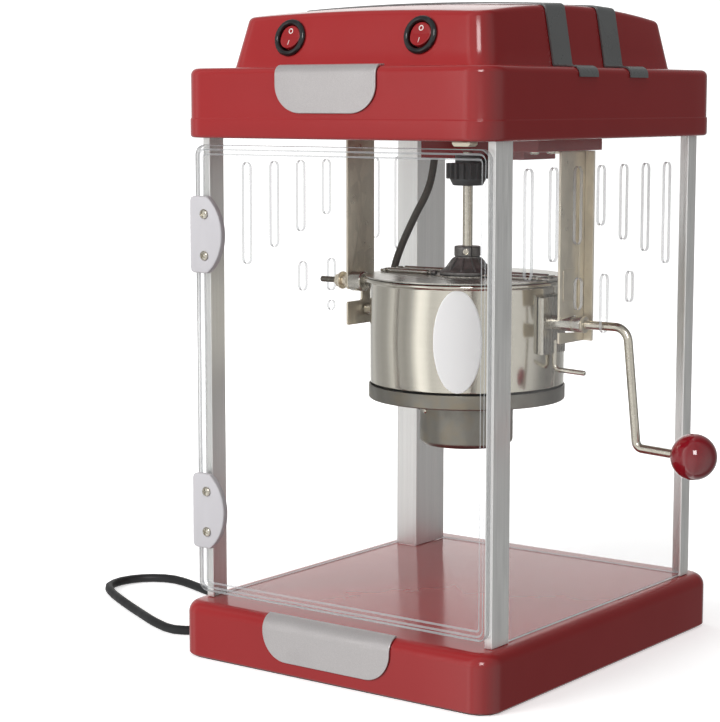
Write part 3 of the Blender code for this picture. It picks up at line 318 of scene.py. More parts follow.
def piece(name, shape, mat, body, node=(), add=(), keep=(), cut=(), bevel=0.0,
          segments=3, limit=35, angle=40):
    """One visible piece that rides on a body; node names the CAD solids it stands for."""
    obj = bpy.data.objects.new(name, to_mesh(name, shape))
    bpy.context.scene.collection.objects.link(obj)
    for s in add:
        combine(obj, s, "UNION")
    for s in keep:
        combine(obj, s, "INTERSECT")
    for s in cut:
        combine(obj, s, "DIFFERENCE")
    bm = bmesh.new()
    bm.from_mesh(obj.data)
    bmesh.ops.remove_doubles(bm, verts=bm.verts, dist=2e-6)
    bmesh.ops.dissolve_degenerate(bm, edges=bm.edges, dist=2e-6)
    bm.to_mesh(obj.data)
    bm.free()
    obj.data.materials.clear()
    obj.data.materials.append(mat)
    obj.data.shade_smooth()
    if bevel:
        mod = obj.modifiers.new("edges", "BEVEL")
        mod.width, mod.segments = bevel * MM, segments
        mod.limit_method, mod.angle_limit = "ANGLE", math.radians(limit)
        mod.harden_normals = True
        mod.miter_outer = "MITER_ARC"
        baked(obj)
    else:
        obj.data.set_sharp_from_angle(angle=math.radians(angle))
    if body:
        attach(obj, body)
    if node:
        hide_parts(*([node] if isinstance(node, str) else node))
    return obj


def flat(name, loops, axis, a, b, mat, body, node=(), slot=None, bevel=0.0, extra=()):
    """A sheet with holes: the first loop is its outline and the others are its holes. It is
    filled as a 2-D curve, so its edges and holes get an even round."""
    curve = bpy.data.curves.new(name, "CURVE")
    curve.dimensions, curve.fill_mode = "2D", "BOTH"
    half = (b - a) / 2
    curve.extrude = (half - bevel) * MM
    curve.bevel_depth, curve.bevel_resolution = bevel * MM, 2
    curve.offset = -bevel * MM
    for loop in loops:
        spline = curve.splines.new("POLY")
        spline.points.add(len(loop) - 1)
        for point, (u, v) in zip(spline.points, loop):
            point.co = (u * MM, v * MM, 0, 1)
        spline.use_cyclic_u = True
    obj = bpy.data.objects.new(name, curve)
    bpy.context.scene.collection.objects.link(obj)
    mid = (a + b) / 2 * MM
    # the curve's own x, y and z go to the sheet's two directions and its normal
    obj.matrix_world = {
        "x": Matrix(((0, 0, 1, mid), (1, 0, 0, 0), (0, 1, 0, 0), (0, 0, 0, 1))),
        "y": Matrix(((1, 0, 0, 0), (0, 0, -1, mid), (0, 1, 0, 0), (0, 0, 0, 1))),
        "z": Matrix(((1, 0, 0, 0), (0, 1, 0, 0), (0, 0, 1, mid), (0, 0, 0, 1)))}[axis]
    bpy.context.view_layer.update()
    mesh = bpy.data.meshes.new_from_object(
        obj.evaluated_get(bpy.context.evaluated_depsgraph_get()))
    mesh.transform(obj.matrix_world)
    bpy.data.objects.remove(obj, do_unlink=True)
    bpy.data.curves.remove(curve)
    bm = bmesh.new()
    bm.from_mesh(mesh)
    bmesh.ops.remove_doubles(bm, verts=bm.verts, dist=2e-6)
    bmesh.ops.dissolve_degenerate(bm, edges=bm.edges, dist=2e-6)
    bmesh.ops.recalc_face_normals(bm, faces=bm.faces)
    bm.to_mesh(mesh)
    bm.free()
    obj = bpy.data.objects.new(name, mesh)
    bpy.context.scene.collection.objects.link(obj)
    for s in extra:
        combine(obj, s, "UNION")
    obj.data.materials.clear()
    obj.data.materials.append(mat)
    obj.data.shade_smooth()
    obj.data.set_sharp_from_angle(angle=math.radians(25))
    if body:
        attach(obj, body)
    if node:
        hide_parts(*([node] if isinstance(node, str) else node))
    return obj


# ---- materials ------------------------------------------------------------------------------------
class Finish:
    """A Principled material with its node helpers. Scales are features per metre."""

    def __init__(self, name, colour, rough, metal=0.0, ior=1.5, coat=0.0, coat_rough=0.05,
                 aniso=0.0, specular=0.5):
        self.mat = bpy.data.materials.new(name)
        self.mat.use_nodes = True
        self.tree = self.mat.node_tree
        self.shader = self.tree.nodes["Principled BSDF"]
        self.mat.diffuse_color = (*colour, 1)
        for key, value in (("Base Color", (*colour, 1)), ("Roughness", rough),
                           ("Metallic", metal), ("IOR", ior), ("Coat Weight", coat),
                           ("Coat Roughness", coat_rough), ("Anisotropic", aniso),
                           ("Specular IOR Level", specular)):
            self.shader.inputs[key].default_value = value
        self.colour, self.rough = colour, rough
        self.place = self.node("ShaderNodeTexCoord").outputs["Object"]

    def node(self, kind, **values):
        n = self.tree.nodes.new(kind)
        for key, value in values.items():
            setattr(n, key, value)
        return n

    def link(self, a, b):
        self.tree.links.new(a, b)

    def mapped(self, scale, shift=(0, 0, 0)):
        m = self.node("ShaderNodeMapping")
        m.inputs["Scale"].default_value = scale
        m.inputs["Location"].default_value = shift
        self.link(self.place, m.inputs["Vector"])
        return m.outputs["Vector"]

    def noise(self, scale, detail=3.0, rough=0.55, vector=None):
        n = self.node("ShaderNodeTexNoise")
        n.inputs["Scale"].default_value = scale
        n.inputs["Detail"].default_value = detail
        n.inputs["Roughness"].default_value = rough
        self.link(vector or self.place, n.inputs["Vector"])
        return n.outputs["Fac"]

    def spread(self, value, low, high, a=0.3, b=0.7):
        n = self.node("ShaderNodeMapRange")
        for key, v in (("From Min", a), ("From Max", b), ("To Min", low), ("To Max", high)):
            n.inputs[key].default_value = v
        self.link(value, n.inputs["Value"])
        return n.outputs["Result"]

    def ramp(self, value, stops):
        n = self.node("ShaderNodeValToRGB")
        while len(n.color_ramp.elements) < len(stops):
            n.color_ramp.elements.new(0.5)
        for e, (at, colour) in zip(n.color_ramp.elements, stops):
            e.position, e.color = at, (*colour, 1)
        self.link(value, n.inputs["Fac"])
        return n.outputs["Color"]

    def math(self, how, a, b):
        n = self.node("ShaderNodeMath", operation=how)
        for socket, v in zip(n.inputs, (a, b)):
            if isinstance(v, (int, float)):
                socket.default_value = v
            else:
                self.link(v, socket)
        return n.outputs[0]

    def tinted(self, value, amount, a=0.3, b=0.7):
        """Colour that wanders by a share of itself."""
        lo = tuple(c * (1 - amount) for c in self.colour)
        hi = tuple(min(1, c * (1 + amount)) for c in self.colour)
        self.link(self.ramp(value, ((a, lo), (b, hi))), self.shader.inputs["Base Color"])
        return self

    def roughened(self, value, low, high, a=0.3, b=0.7):
        self.link(self.spread(value, low, high, a, b), self.shader.inputs["Roughness"])
        return self

    def bumped(self, value, strength, depth):
        n = self.node("ShaderNodeBump")
        n.inputs["Strength"].default_value = strength
        n.inputs["Distance"].default_value = depth * MM
        self.link(value, n.inputs["Height"])
        old = self.shader.inputs["Normal"]
        if old.is_linked:
            self.link(old.links[0].from_socket, n.inputs["Normal"])
        self.link(n.outputs["Normal"], old)
        return self


def plastic(name, colour, rough, tint=0.04, peel=0.05, grain=0.0, **kw):
    f = Finish(name, colour, rough, **kw)
    f.tinted(f.noise(14, 4), tint)
    f.roughened(f.noise(55, 5), rough * 0.8, rough * 1.25)
    if peel:
        f.bumped(f.noise(160, 2), peel, 0.05)
    if grain:
        f.bumped(f.noise(2600, 2), grain, 0.03)
    return f.mat


def brushed(name, colour, rough, stretch, tint=0.06, bump=0.12, aniso=0.5, shift=(0, 0, 0)):
    """Metal with fine parallel scratches; stretch is the features per metre along X, Y and Z."""
    f = Finish(name, colour, rough, 1.0, aniso=aniso)
    lines = f.noise(1.0, 3, 0.6, f.mapped(stretch, shift))
    f.tinted(f.noise(1.0, 4, 0.6, f.mapped(tuple(s * 0.25 for s in stretch))), tint)
    f.roughened(lines, rough * 0.75, rough * 1.3)
    f.bumped(lines, bump, 0.02)
    return f.mat


RED = plastic("moulded_red", (0.345, 0.021, 0.023), 0.13, tint=0.03, peel=0.05)
BEZEL = plastic("gloss_black", (0.012, 0.012, 0.013), 0.12, peel=0.03)
BLACK = plastic("moulded_black", (0.018, 0.018, 0.019), 0.42, grain=0.25)
RUBBER = plastic("soft_black", (0.013, 0.013, 0.014), 0.58, grain=0.35, peel=0.0)
STRIPE = plastic("moulded_grey", (0.165, 0.172, 0.172), 0.28, tint=0.05)
HINGE = plastic("moulded_light_grey", (0.60, 0.585, 0.61), 0.38, tint=0.02, grain=0.12)
CHARCOAL = plastic("moulded_charcoal", (0.062, 0.063, 0.065), 0.5, grain=0.3)
ROCKER = plastic("rocker_red", (0.30, 0.012, 0.015), 0.16, tint=0.05, peel=0.03)
MARK = plastic("printed_white", (0.80, 0.79, 0.77), 0.45, tint=0.02)
LABEL = plastic("enamel_white", (0.93, 0.93, 0.93), 0.30, tint=0.01, peel=0.08)
BALL = plastic("polished_red", (0.27, 0.006, 0.014), 0.07, tint=0.05, peel=0.02, coat=0.6)

f = Finish("silver_paint", (0.52, 0.495, 0.495), 0.32, 0.55)
flake = f.node("ShaderNodeTexVoronoi")
flake.inputs["Scale"].default_value = 2600
f.link(f.place, flake.inputs["Vector"])
f.tinted(flake.outputs["Distance"], 0.10, 0.1, 0.7)
f.roughened(f.noise(70, 4), 0.28, 0.42)
f.bumped(f.noise(1800, 2), 0.10, 0.02)
SILVER = f.mat

ALU = brushed("satin_aluminium", (0.92, 0.92, 0.91), 0.42, (2600, 2600, 26), tint=0.05,
              bump=0.10, aniso=0.3)
POT = brushed("spun_steel", (0.60, 0.57, 0.50), 0.13, (7, 7, 2300), tint=0.03, bump=0.02,
              aniso=0.0)
LID = brushed("pressed_steel", (0.52, 0.50, 0.455), 0.24, (38, 1900, 40), tint=0.05, bump=0.04)
ROD = brushed("drawn_steel", (0.60, 0.565, 0.49), 0.22, (900, 900, 900), tint=0.08, bump=0.05,
              aniso=0.2)

f = Finish("zinc_plate", (0.76, 0.695, 0.57), 0.34, 0.75, aniso=0.2)
grain = f.node("ShaderNodeTexVoronoi")
grain.inputs["Scale"].default_value = 210
f.link(f.mapped((1, 1, 0.45)), grain.inputs["Vector"])
f.tinted(grain.outputs["Color"], 0.07, 0.2, 0.8)
f.roughened(f.noise(130, 5), 0.26, 0.44)
f.bumped(f.noise(900, 3), 0.10, 0.03)
ZINC = f.mat

f = Finish("heat_stained_steel", (0.23, 0.215, 0.19), 0.40, 1.0)
f.link(f.ramp(f.noise(24, 5, 0.65), ((0.25, (0.19, 0.175, 0.15)), (0.5, (0.24, 0.23, 0.205)),
                                     (0.62, (0.27, 0.235, 0.18)), (0.8, (0.20, 0.20, 0.21)))),
       f.shader.inputs["Base Color"])
f.roughened(f.noise(90, 5), 0.30, 0.52)
f.bumped(f.noise(1.0, 3, 0.6, f.mapped((30, 30, 1600))), 0.12, 0.02)
STAINED = f.mat

f = Finish("sand_cast_alloy", (0.21, 0.205, 0.20), 0.45, 0.85)
f.tinted(f.noise(240, 5), 0.25)
f.roughened(f.noise(300, 4), 0.36, 0.60)
f.bumped(f.noise(1500, 4), 0.45, 0.08)
CAST = f.mat

f = Finish("woven_sleeve", (0.105, 0.100, 0.088), 0.72)
f.place = f.node("ShaderNodeTexCoord").outputs["UV"]
weft = [f.node("ShaderNodeTexWave", wave_type="BANDS", bands_direction="DIAGONAL") for _ in "ab"]
for w, flip in zip(weft, (1, -1)):
    w.inputs["Scale"].default_value = 1.0
    w.inputs["Distortion"].default_value = 0.4
    f.link(f.mapped((2.0 * flip, 2.0, 1)), w.inputs["Vector"])
braid = f.math("MAXIMUM", weft[0].outputs["Fac"], weft[1].outputs["Fac"])
f.tinted(braid, 0.35, 0.3, 1.0)
f.bumped(braid, 0.7, 0.35)
SLEEVE = f.mat


def acrylic(name, colour, low, high, gloss):
    """Clear sheet: its faces show little but a sheen, and its cut edges show as grey lines."""
    f = Finish(name, colour, 0.04, ior=1.49)
    glance = f.node("ShaderNodeLayerWeight")
    glance.inputs["Blend"].default_value = 0.18
    sheen = f.math("MULTIPLY", glance.outputs["Fresnel"], gloss)
    f.link(f.math("ADD", sheen, f.spread(f.noise(9, 4), low, high)), f.shader.inputs["Alpha"])
    f.tinted(f.noise(60, 3), 0.03)
    f.roughened(f.noise(40, 4), 0.03, 0.07)
    return f.mat


CLEAR = acrylic("clear_sheet", (0.96, 0.965, 0.97), 0.002, 0.006, 0.16)
CLEAR_EDGE = acrylic("clear_sheet_edge", (0.50, 0.515, 0.53), 0.50, 0.62, 0.30)


def clear_faces(obj, axis):
    """Gives a clear sheet's cut edges their own finish and keeps its flat faces flat."""
    obj.data.materials.clear()
    obj.data.materials.append(CLEAR)
    obj.data.materials.append(CLEAR_EDGE)
    bm = bmesh.new()
    bm.from_mesh(obj.data)
    for face in bm.faces:
        face.material_index = 0 if abs(face.normal[axis]) > 0.995 else 1
    for e in bm.edges:
        kinds = {face.material_index for face in e.link_faces}
        if len(kinds) > 1:
            e.smooth = False
    bm.to_mesh(obj.data)
    bm.free()
    return obj

# ---- mains cord -----------------------------------------------------------------------------------
start_y = BASE_HY + 34 + 2 * GAP
route = [(CORD_EXIT_X, start_y + 7, CORD_EXIT_Z - 0.1),
         (CORD_EXIT_X - 2, start_y + 15, 14.9),
         (CORD_EXIT_X - 7, start_y + 26, 10.0), (CORD_EXIT_X - 24, start_y + 38, 4.0),
         (CORD_EXIT_X - 50, start_y + 30, 3.25), (-153, start_y, 3.25), (-147, 130, 3.25),
         (-138, 80, 3.25), (-134, 20, 3.25), (-134, -40, 3.25), (-136, -72, 3.25),
         (-146, -97, 3.25), (-163, -108, 3.25), (-183, -103, 3.25), (-215, -87.5, 3.25),
         (-248, -70, 3.25), (-277.2, -52.4, 3.25), (-289.9, -40.6, 3.25), (-294, -25.3, 3.25),
         (-289.9, -10.1, 3.25), (-278.8, 1.1, 3.25), (-266.2, 5.1, 3.25), (-254.1, 3.7, 3.25),
         (-220, -7.4, 3.25), (-186, -18.6, 3.25), (-175.2, -20.2, 3.25), (-164.1, -16.7, 3.25),
         (-154.2, -6.8, 3.25), (-150.6, 6.7, 3.25), (-150.6, 30, 3.25), (-151, 60, 3.25),
         (-157, 110, 3.25), (-167, 150, 3.25), (-173, 183, 3.25), (-166, 211, 3.25),
         (-146, 228.5, 3.25), (-122, 233.5, 3.25), (-100, 232.4, 3.25), (-80, 229.9, 3.25),
         (COIL_X - 23.0, COIL_Y + COIL_R, 3.25)]
path = [Vector((CORD_EXIT_X, BASE_HY + 9, CORD_EXIT_Z)), Vector((CORD_EXIT_X, start_y, CORD_EXIT_Z))]
path += smooth_path(route, 9.0)
path.append(Vector((COIL_X - 11.0, COIL_Y + COIL_R, 3.25)))
TURNS, PER_TURN = 1.25, 40
for i in range(int(TURNS * PER_TURN) + 1):
    turn = i / PER_TURN
    lift = min(max((turn - 0.22) / 0.70, 0.0), 1.0)
    lift = lift * lift * (3 - 2 * lift)
    a = math.pi / 2 - 2 * math.pi * turn
    path.append(Vector((COIL_X + COIL_R * math.cos(a), COIL_Y + COIL_R * math.sin(a),
                        3.25 + 6.45 * lift)))
tail = smooth_path([(COIL_X + COIL_R, COIL_Y, 9.7), (COIL_X + COIL_R + 4.5, COIL_Y - 10, 9.6),
                    (COIL_X + COIL_R + 13, COIL_Y - 16, 9.4),
                    (COIL_X + COIL_R + 27, COIL_Y - 18, 9.2)], 5)
path += tail[1:]
path.append(Vector((COIL_X + COIL_R + 31, COIL_Y - 18, 9.2)))
curve = bpy.data.curves.new("mains_flex", "CURVE")
curve.dimensions = "3D"
spline = curve.splines.new("POLY")
spline.points.add(len(path) - 1)
for point, p in zip(spline.points, path):
    point.co = (*(p * MM), 1.0)
curve.bevel_depth, curve.bevel_resolution, curve.use_fill_caps = CORD_R * MM, 5, True
curve.materials.append(RUBBER)
flex = bpy.data.objects.new("mains_flex", curve)
bpy.context.scene.collection.objects.link(flex)
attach(flex, "cabinet")
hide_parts("mains_cord", "mains_cord_coil")

plug_at = Matrix.Translation((COIL_X + COIL_R + 27.3, COIL_Y - 18, 9.2)) @ Matrix.Rotation(
    math.radians(90), 4, "Y")
sizes = ((3.3, 3.3, 3.2, 0), (4.2, 4.2, 4.1, 0.6), (4.6, 4.7, 4.4, 8), (5.4, 5.6, 5.0, 16),
         (7.0, 7.9, 5.9, 19), (8.2, 9.6, 6.5, 22), (8.6, 13.5, 7.0, 27), (8.8, 16.6, 7.0, 32),
         (8.8, 17.3, 7.0, 37), (8.8, 17.4, 7.0, 39.2), (8.2, 16.8, 6.6, 40))
plug = piece("mains_plug_body",
             placed(loft([[(x, y, z) for x, y in rrect(hx, hy, r, corner=8, nx=3, ny=3)]
                          for hx, hy, r, z in sizes]), plug_at),
             BLACK, "cabinet", "mains_plug", angle=50)
for n, s in enumerate((-1, 1)):
    pin = piece(f"mains_plug_pin_{n + 1}", placed(
        lathe(eased([(0, 38), (2.4, 38), (2.4, 59), (0, 59)], 1.4), 28, 0, s * 9.5), plug_at),
        ROD, "cabinet")
    sleeve = piece(f"mains_plug_pin_sleeve_{n + 1}", placed(
        lathe([(0, 39), (2.45, 39), (2.45, 47), (0, 47)], 28, 0, s * 9.5), plug_at),
        BLACK, "cabinet")

relief_at = Matrix.Translation((CORD_EXIT_X, BASE_HY, CORD_EXIT_Z)) @ Matrix.Rotation(
    math.radians(-90), 4, "X")
profile = [(3.25, -8.8), (5.0, -8.8), (5.0, 2.6), (7.4, 2.6), (7.4, 4.2), (5.8, 5.0)]
for k in range(7):
    z, r = 6.5 + 3.9 * k, 5.2 - 0.16 * k
    profile += [(r + 0.15, z), (r + 0.15, z + 2.2), (r - 0.75, z + 2.5), (r - 0.75, z + 3.4)]
profile += [(3.9, 34), (3.25, 34)]
piece("cord_strain_relief_ribbed", placed(lathe(eased(profile, 0.25, 2, True), 36, 0, 0, True),
                                          relief_at),
      RUBBER, "cabinet", "cord_strain_relief")


# ---- base -----------------------------------------------------------------------------------------
def base_rings(d, low, corner=14, steps=8, n=6):
    rings = [[(x, y, low) for x, y in
              rrect(BASE_HX + d, BASE_HY + d, BASE_R + d, corner=corner, nx=n, ny=n)]]
    for i in range(steps + 1):
        a = math.radians(90 * i / steps)
        off = -BASE_EDGE + (BASE_EDGE + d) * math.cos(a)
        z = BASE_TOP - BASE_EDGE + (BASE_EDGE + d) * math.sin(a)
        rings.append([(x, y, z) for x, y in
                      rrect(BASE_HX + off, BASE_HY + off, BASE_R + off, corner=corner, nx=n,
                            ny=n)])
    return rings


def shell(outer, inner):
    n = len(outer[0])
    ov, of = loft(outer)
    iv, inf = loft(inner)
    of = [f for f in of if sorted(f) != list(range(n))]
    inf = [f for f in inf if sorted(f) != list(range(n))]
    k = len(ov)
    faces = of + [tuple(i + k for i in f)[::-1] for f in inf]
    faces += [(i, (i + 1) % n, k + (i + 1) % n, k + i) for i in range(n)]
    return ov + iv, faces


outer = base_rings(0, BASE_BOTTOM + 0.9)
outer[0:0] = [[(x, y, BASE_BOTTOM) for x, y in
               rrect(BASE_HX - 0.8, BASE_HY - 0.8, BASE_R - 0.8, corner=14, nx=6, ny=6)]]
inner = base_rings(-WALL, BASE_BOTTOM)
inner[0:0] = [inner[0]]
inner[1] = [(x, y, BASE_BOTTOM + 1) for x, y, _ in inner[1]]
hole = placed(prism(circle(0, 0, 5.3, 40), "z", -6, 6),
              Matrix.Translation((CORD_EXIT_X, BASE_HY - 1, CORD_EXIT_Z))
              @ Matrix.Rotation(math.radians(90), 4, "X"))
piece("base_moulding", shell(outer, inner), RED, "cabinet", "base_shell",
      cut=[hole])


# ---- canopy ---------------------------------------------------------------------------------------
def roof(x, y):
    return EAVES_Z + CROWN * (1 - (y / 112.0) ** 2) - SIDE_FALL * (x / 95.0) ** 2


def canopy_rings(d, low=None, corner=12, nx=14, ny=16, steps=6):
    rings = []

    def band(off, z):
        rings.append([(x, y, z) for x, y in
                      rrect(BAND_HX + off, BAND_HY + off, BAND_R + off, corner=corner, nx=nx,
                            ny=ny)])

    if low is None:
        band(LIP - 2.2, BAND_LOW)
        for i in range(1, 5):
            a = math.radians(90 * i / 4)
            band(LIP - 2.2 + 2.2 * math.sin(a), BAND_LOW + 2.2 * (1 - math.cos(a)))
    else:
        band(LIP + d, low)
    band(LIP + d, LIP_Z - 1.0)
    band(LIP * 0.85 + d, LIP_Z - 0.55)
    band(d + LIP * 0.15, LIP_Z - 0.25)
    band(d, LIP_Z + 0.1)
    for i in range(steps + 1):
        a = math.radians(90 * i / steps)
        band(-BAND_EDGE + (BAND_EDGE + d) * math.cos(a),
             BAND_TOP - BAND_EDGE + (BAND_EDGE + d) * math.sin(a))

    def level(t, inset):
        hx, hy, r, cy = (a + (b - a) * t for a, b in zip(DOME_FOOT, DOME_HEAD))
        return rrect(hx + d - inset, hy + d - inset, r + d - inset, 0, cy, corner=corner, nx=nx,
                     ny=ny)

    ledge = [(x, y, BAND_TOP + 0.25 + d) for x, y in level(0, -2.2)]
    crease = [(x, y, FOOT_Z - 0.45 + d) for x, y in level(0, -0.55)]
    foot = [(x, y, FOOT_Z + 0.5 + d) for x, y in level(0.012, 0)]
    base = [(x, y, FOOT_Z + d) for x, y in level(0, 0)]
    head = [(x, y, roof(x, y) + d) for x, y in level(1, 0)]
    inset = [(x, y, roof(x, y) + d) for x, y in level(1, 3.4)]
    rings += [ledge, crease, foot]
    for t in (0.3, 0.6):
        rings.append([tuple(Vector(a).lerp(Vector(b), t)) for a, b in zip(base, head)])
    under = [tuple(Vector(a).lerp(Vector(b), 0.9)) for a, b in zip(base, head)]
    for k in range(7):
        s = k / 6
        rings.append([tuple(Vector(a) * (1 - s) ** 2 + Vector(b) * 2 * s * (1 - s)
                            + Vector(c) * s * s) for a, b, c in zip(under, head, inset)])
    for s in (0.9, 0.78, 0.64, 0.5, 0.36, 0.22, 0.1):
        rings.append([(x * s, DOME_HEAD[3] + (y - DOME_HEAD[3]) * s,
                       roof(x * s, DOME_HEAD[3] + (y - DOME_HEAD[3]) * s) + d)
                      for x, y, _ in inset])
    return rings


tilt = math.atan2(DOME_FOOT[1] - DOME_FOOT[3] - DOME_HEAD[1] + DOME_HEAD[3], EAVES_Z - FOOT_Z)
front_y = -(DOME_FOOT[1] - DOME_FOOT[3]) + (SWITCH_Z - FOOT_Z) * math.tan(tilt)


def switch_frame(x):
    out = Vector((0, -math.cos(tilt), math.sin(tilt)))
    up = out.cross(Vector((1, 0, 0)))
    m = Matrix((Vector((1, 0, 0)), up, out)).transposed().to_4x4()
    return Matrix.Translation((x, front_y, SWITCH_Z)) @ m


holes = [placed(prism(circle(0, 0, 10.0, 48), "z", -9, 9), switch_frame(s * SWITCH_X))
         for s in (-1, 1)]
inner = canopy_rings(-2.5)
inner[:8] = [[(x, y, BAND_LOW) for x, y in
              rrect(BAND_HX + LIP - 2.5, BAND_HY + LIP - 2.5, BAND_R + LIP - 2.5, corner=12,
                    nx=14, ny=16)]]
piece("canopy_moulding", shell(canopy_rings(0), inner), RED, "cabinet", "canopy_shell",
      cut=[merged(*holes)], angle=50)

box_x = (-44.0, 41.0)
piece("canopy_ceiling",
      loft([[(x, y, z) for x, y in rrect(117.9, 141.4, 16, nx=1, ny=1)] for z in (349.8, 351.3)]),
      RED, "cabinet", "canopy_underside",
      add=[box(*box_x, 21.5, 62, 332.3, 350.5), box(79, 101, -57, 22, 340.0, 350.5)],
      cut=[box(box_x[0] + 2, box_x[1] - 2, 23.5, 60, 334.3, 360),
           merged(prism(circle(KX, PINION_Y, 3.2, 32), "z", 331, 336),
                  prism(circle(-38.0, 30.0, 3.4, 32), "z", 331, 336))], bevel=0.7)

for name, (y0, y1) in zip(("front", "rear"), STRIPES):
    piece("dome_stripe_" + name, loft(canopy_rings(1.3, 340)), STRIPE, "cabinet",
          "stripe_" + name, keep=[box(-140, 140, y0, y1, 386.9, 450)],
          cut=[loft(canopy_rings(0.35, 330))], bevel=0.35, segments=2, limit=50)


def badge_outline(half, flat, low, top, shoulder, r_n=20):
    pts = [(-half, top), (-half, shoulder)]
    drop, run = shoulder - low, half - flat
    for i in range(1, r_n + 1):
        a = math.radians(90 * i / r_n)
        pts.append((-half + run * (1 - math.cos(a)), shoulder - drop * math.sin(a)))
    return pts + [(-x, z) for x, z in reversed(pts)]


def inset_outline(pts, d):
    """The same closed outline moved in by d, for a convex shape."""
    c = Vector((sum(p[0] for p in pts) / len(pts), sum(p[1] for p in pts) / len(pts)))
    out = []
    n = len(pts)
    for i in range(n):
        a, b = Vector(pts[i - 1]), Vector(pts[(i + 1) % n])
        t = (b - a).normalized()
        nrm = Vector((-t.y, t.x))
        p = Vector(pts[i])
        if nrm.dot(c - p) < 0:
            nrm = -nrm
        out.append(tuple(p + nrm * d))
    return out


piece("canopy_plate", loft(canopy_rings(1.5, 330)), SILVER, "cabinet", "plate_upper",
      keep=[prism(badge_outline(39.4, 19.5, 364.2, 396, 382.0), "y", -160, -136)],
      cut=[loft(canopy_rings(GAP, 320))], bevel=0.45, segments=3, limit=50)
piece("base_plate", loft(base_rings(1.5, -5)), SILVER, "cabinet", "plate_lower",
      keep=[prism(badge_outline(51.1, 32.0, 9.6, 41, 29.0), "y", -160, -138.2)],
      cut=[loft(base_rings(GAP, -10))], bevel=0.45, segments=3, limit=50)

# ---- switches -------------------------------------------------------------------------------------
for side, s in (("left", -1), ("right", 1)):
    at = switch_frame(s * SWITCH_X)
    cup = lathe(eased([(0, -13), (9.6, -13), (9.6, 0.3), (12.0, 0.3), (12.1, 1.2), (11.3, 2.2),
                       (10.1, 2.7), (9.1, 2.3), (8.5, 1.3), (8.5, -12), (0, -12)], 0.5), 64, 0, 0)
    piece("switch_ring_" + side, placed(cup, at), BEZEL, "cabinet", "switch_bezel_" + side,
          angle=60)
    key_at = at @ Matrix.Translation((0, 0, -2.5)) @ Matrix.Rotation(-ROCK, 4, "X")
    n = 64
    rings = [[(r * math.cos(2 * math.pi * i / n), r * math.sin(2 * math.pi * i / n), z)
              for i in range(n)] for r, z in ((6.6, -3.4), (7.4, -2.2), (7.7, -1.5), (7.7, 0.4))]

    def crown(x, y):
        # each half is slightly dished and rises to its outer edge
        return 3.1 + abs(y) * 0.13

    rim = [(7.7 * math.cos(2 * math.pi * i / n), 7.7 * math.sin(2 * math.pi * i / n))
           for i in range(n)]
    for scale, drop in ((1.0, 0.55), (0.985, 0.22), (0.955, 0.05), (0.92, 0.0), (0.75, 0.0),
                        (0.5, 0.0), (0.25, 0.0)):
        rings.append([(x * scale, y * scale, crown(x * scale, y * scale) - drop)
                      for x, y in rim])
    rings.append([(x * 0.03, y * 0.03, 3.12) for x, y in rim])
    key = piece("switch_key_" + side, placed(loft(rings), key_at), ROCKER, "switch_" + side,
                "rocker_" + side, angle=60)
    lean = math.atan(0.13)
    ring_at = key_at @ Matrix.Translation((0, 3.9, crown(0, 3.9))) @ Matrix.Rotation(lean, 4, "X")
    bar_at = key_at @ Matrix.Translation((0, -3.9, crown(0, 3.9))) @ Matrix.Rotation(-lean, 4,
                                                                                     "X")
    piece("switch_mark_off_" + side, placed(lathe(
        [(1.15, -0.1), (1.75, -0.1), (1.75, 0.08), (1.6, 0.13), (1.3, 0.13), (1.15, 0.08)], 36, 0,
        0, True), ring_at), MARK, "switch_" + side)
    piece("switch_mark_on_" + side, placed(prism(
        [(x, y) for x, y in stadium(0, -1.75, 1.75, 0.22, 8)], "z", -0.1, 0.13), bar_at),
        MARK, "switch_" + side, bevel=0.04, segments=2)

# ---- posts, panels and duct -----------------------------------------------------------------------
for name, sx, sy in (("front_left", -1, -1), ("front_right", 1, -1),
                     ("rear_left", -1, 1), ("rear_right", 1, 1)):
    lx, ly = (FRONT_LEG_X, FRONT_LEG_Y) if sy < 0 else (REAR_LEG, REAR_LEG)
    t = POST_T
    outline = [(0, 0), (lx, 0), (lx, t), (t, t), (t, ly), (0, ly)]
    outline = [(sx * (POST_X - a), sy * (POST_Y - b)) for a, b in outline]
    piece("corner_post_" + name, prism(outline, "z", FLOOR, CEILING), ALU, "cabinet",
          "post_" + name, bevel=0.32)

SLOT_Y, SLOT_STEP, SLOT_R = 2.0, 29.4, 3.9
SLOT_TOP, SLOT_LOW = 330.6, (262.0, 272.0, 281.3, 292.0, 281.3, 272.0, 262.0)
for side, sx in (("left", -1), ("right", 1)):
    face = POST_X - POST_T - GAP
    x0, x1 = sorted((sx * face, sx * (face - PANEL_T)))
    loops = [[(-125.9, FLOOR), (125.9, FLOOR), (125.9, CEILING), (-125.9, CEILING)]]
    loops += [stadium(SLOT_Y + SLOT_STEP * (k - 3), low, SLOT_TOP, SLOT_R)
              for k, low in enumerate(SLOT_LOW)]
    loops += [stadium(y, 239.2, 259.6, SLOT_R) for y in (-25.4, 41.0)]
    if sx > 0:
        loops.append(stadium(KY, PIVOT_Z - 4.2, 259.8, 4.0))
    else:
        loops += [stadium(KY, 237.0, 259.8, SLOT_R), circle(KY, PIVOT_Z + 0.6, 3.5, 32)]
    clear_faces(flat("clear_side_" + side, loops, "x", x0, x1, CLEAR, "cabinet",
                     "side_panel_" + side, "clear_acrylic", bevel=0.25), 0)
clear_faces(flat("clear_rear", [[(-110.9, FLOOR), (110.9, FLOOR), (110.9, CEILING),
                                 (-110.9, CEILING)]], "y", 123.7, 125.9, CLEAR, "cabinet",
                 "rear_panel", "clear_acrylic", bevel=0.25), 1)
duct = [(-110.8, 87.0), (-93.0, 87.0), (-93.0, 123.4), (-94.2, 123.4), (-94.2, 88.2),
        (-110.8, 88.2)]
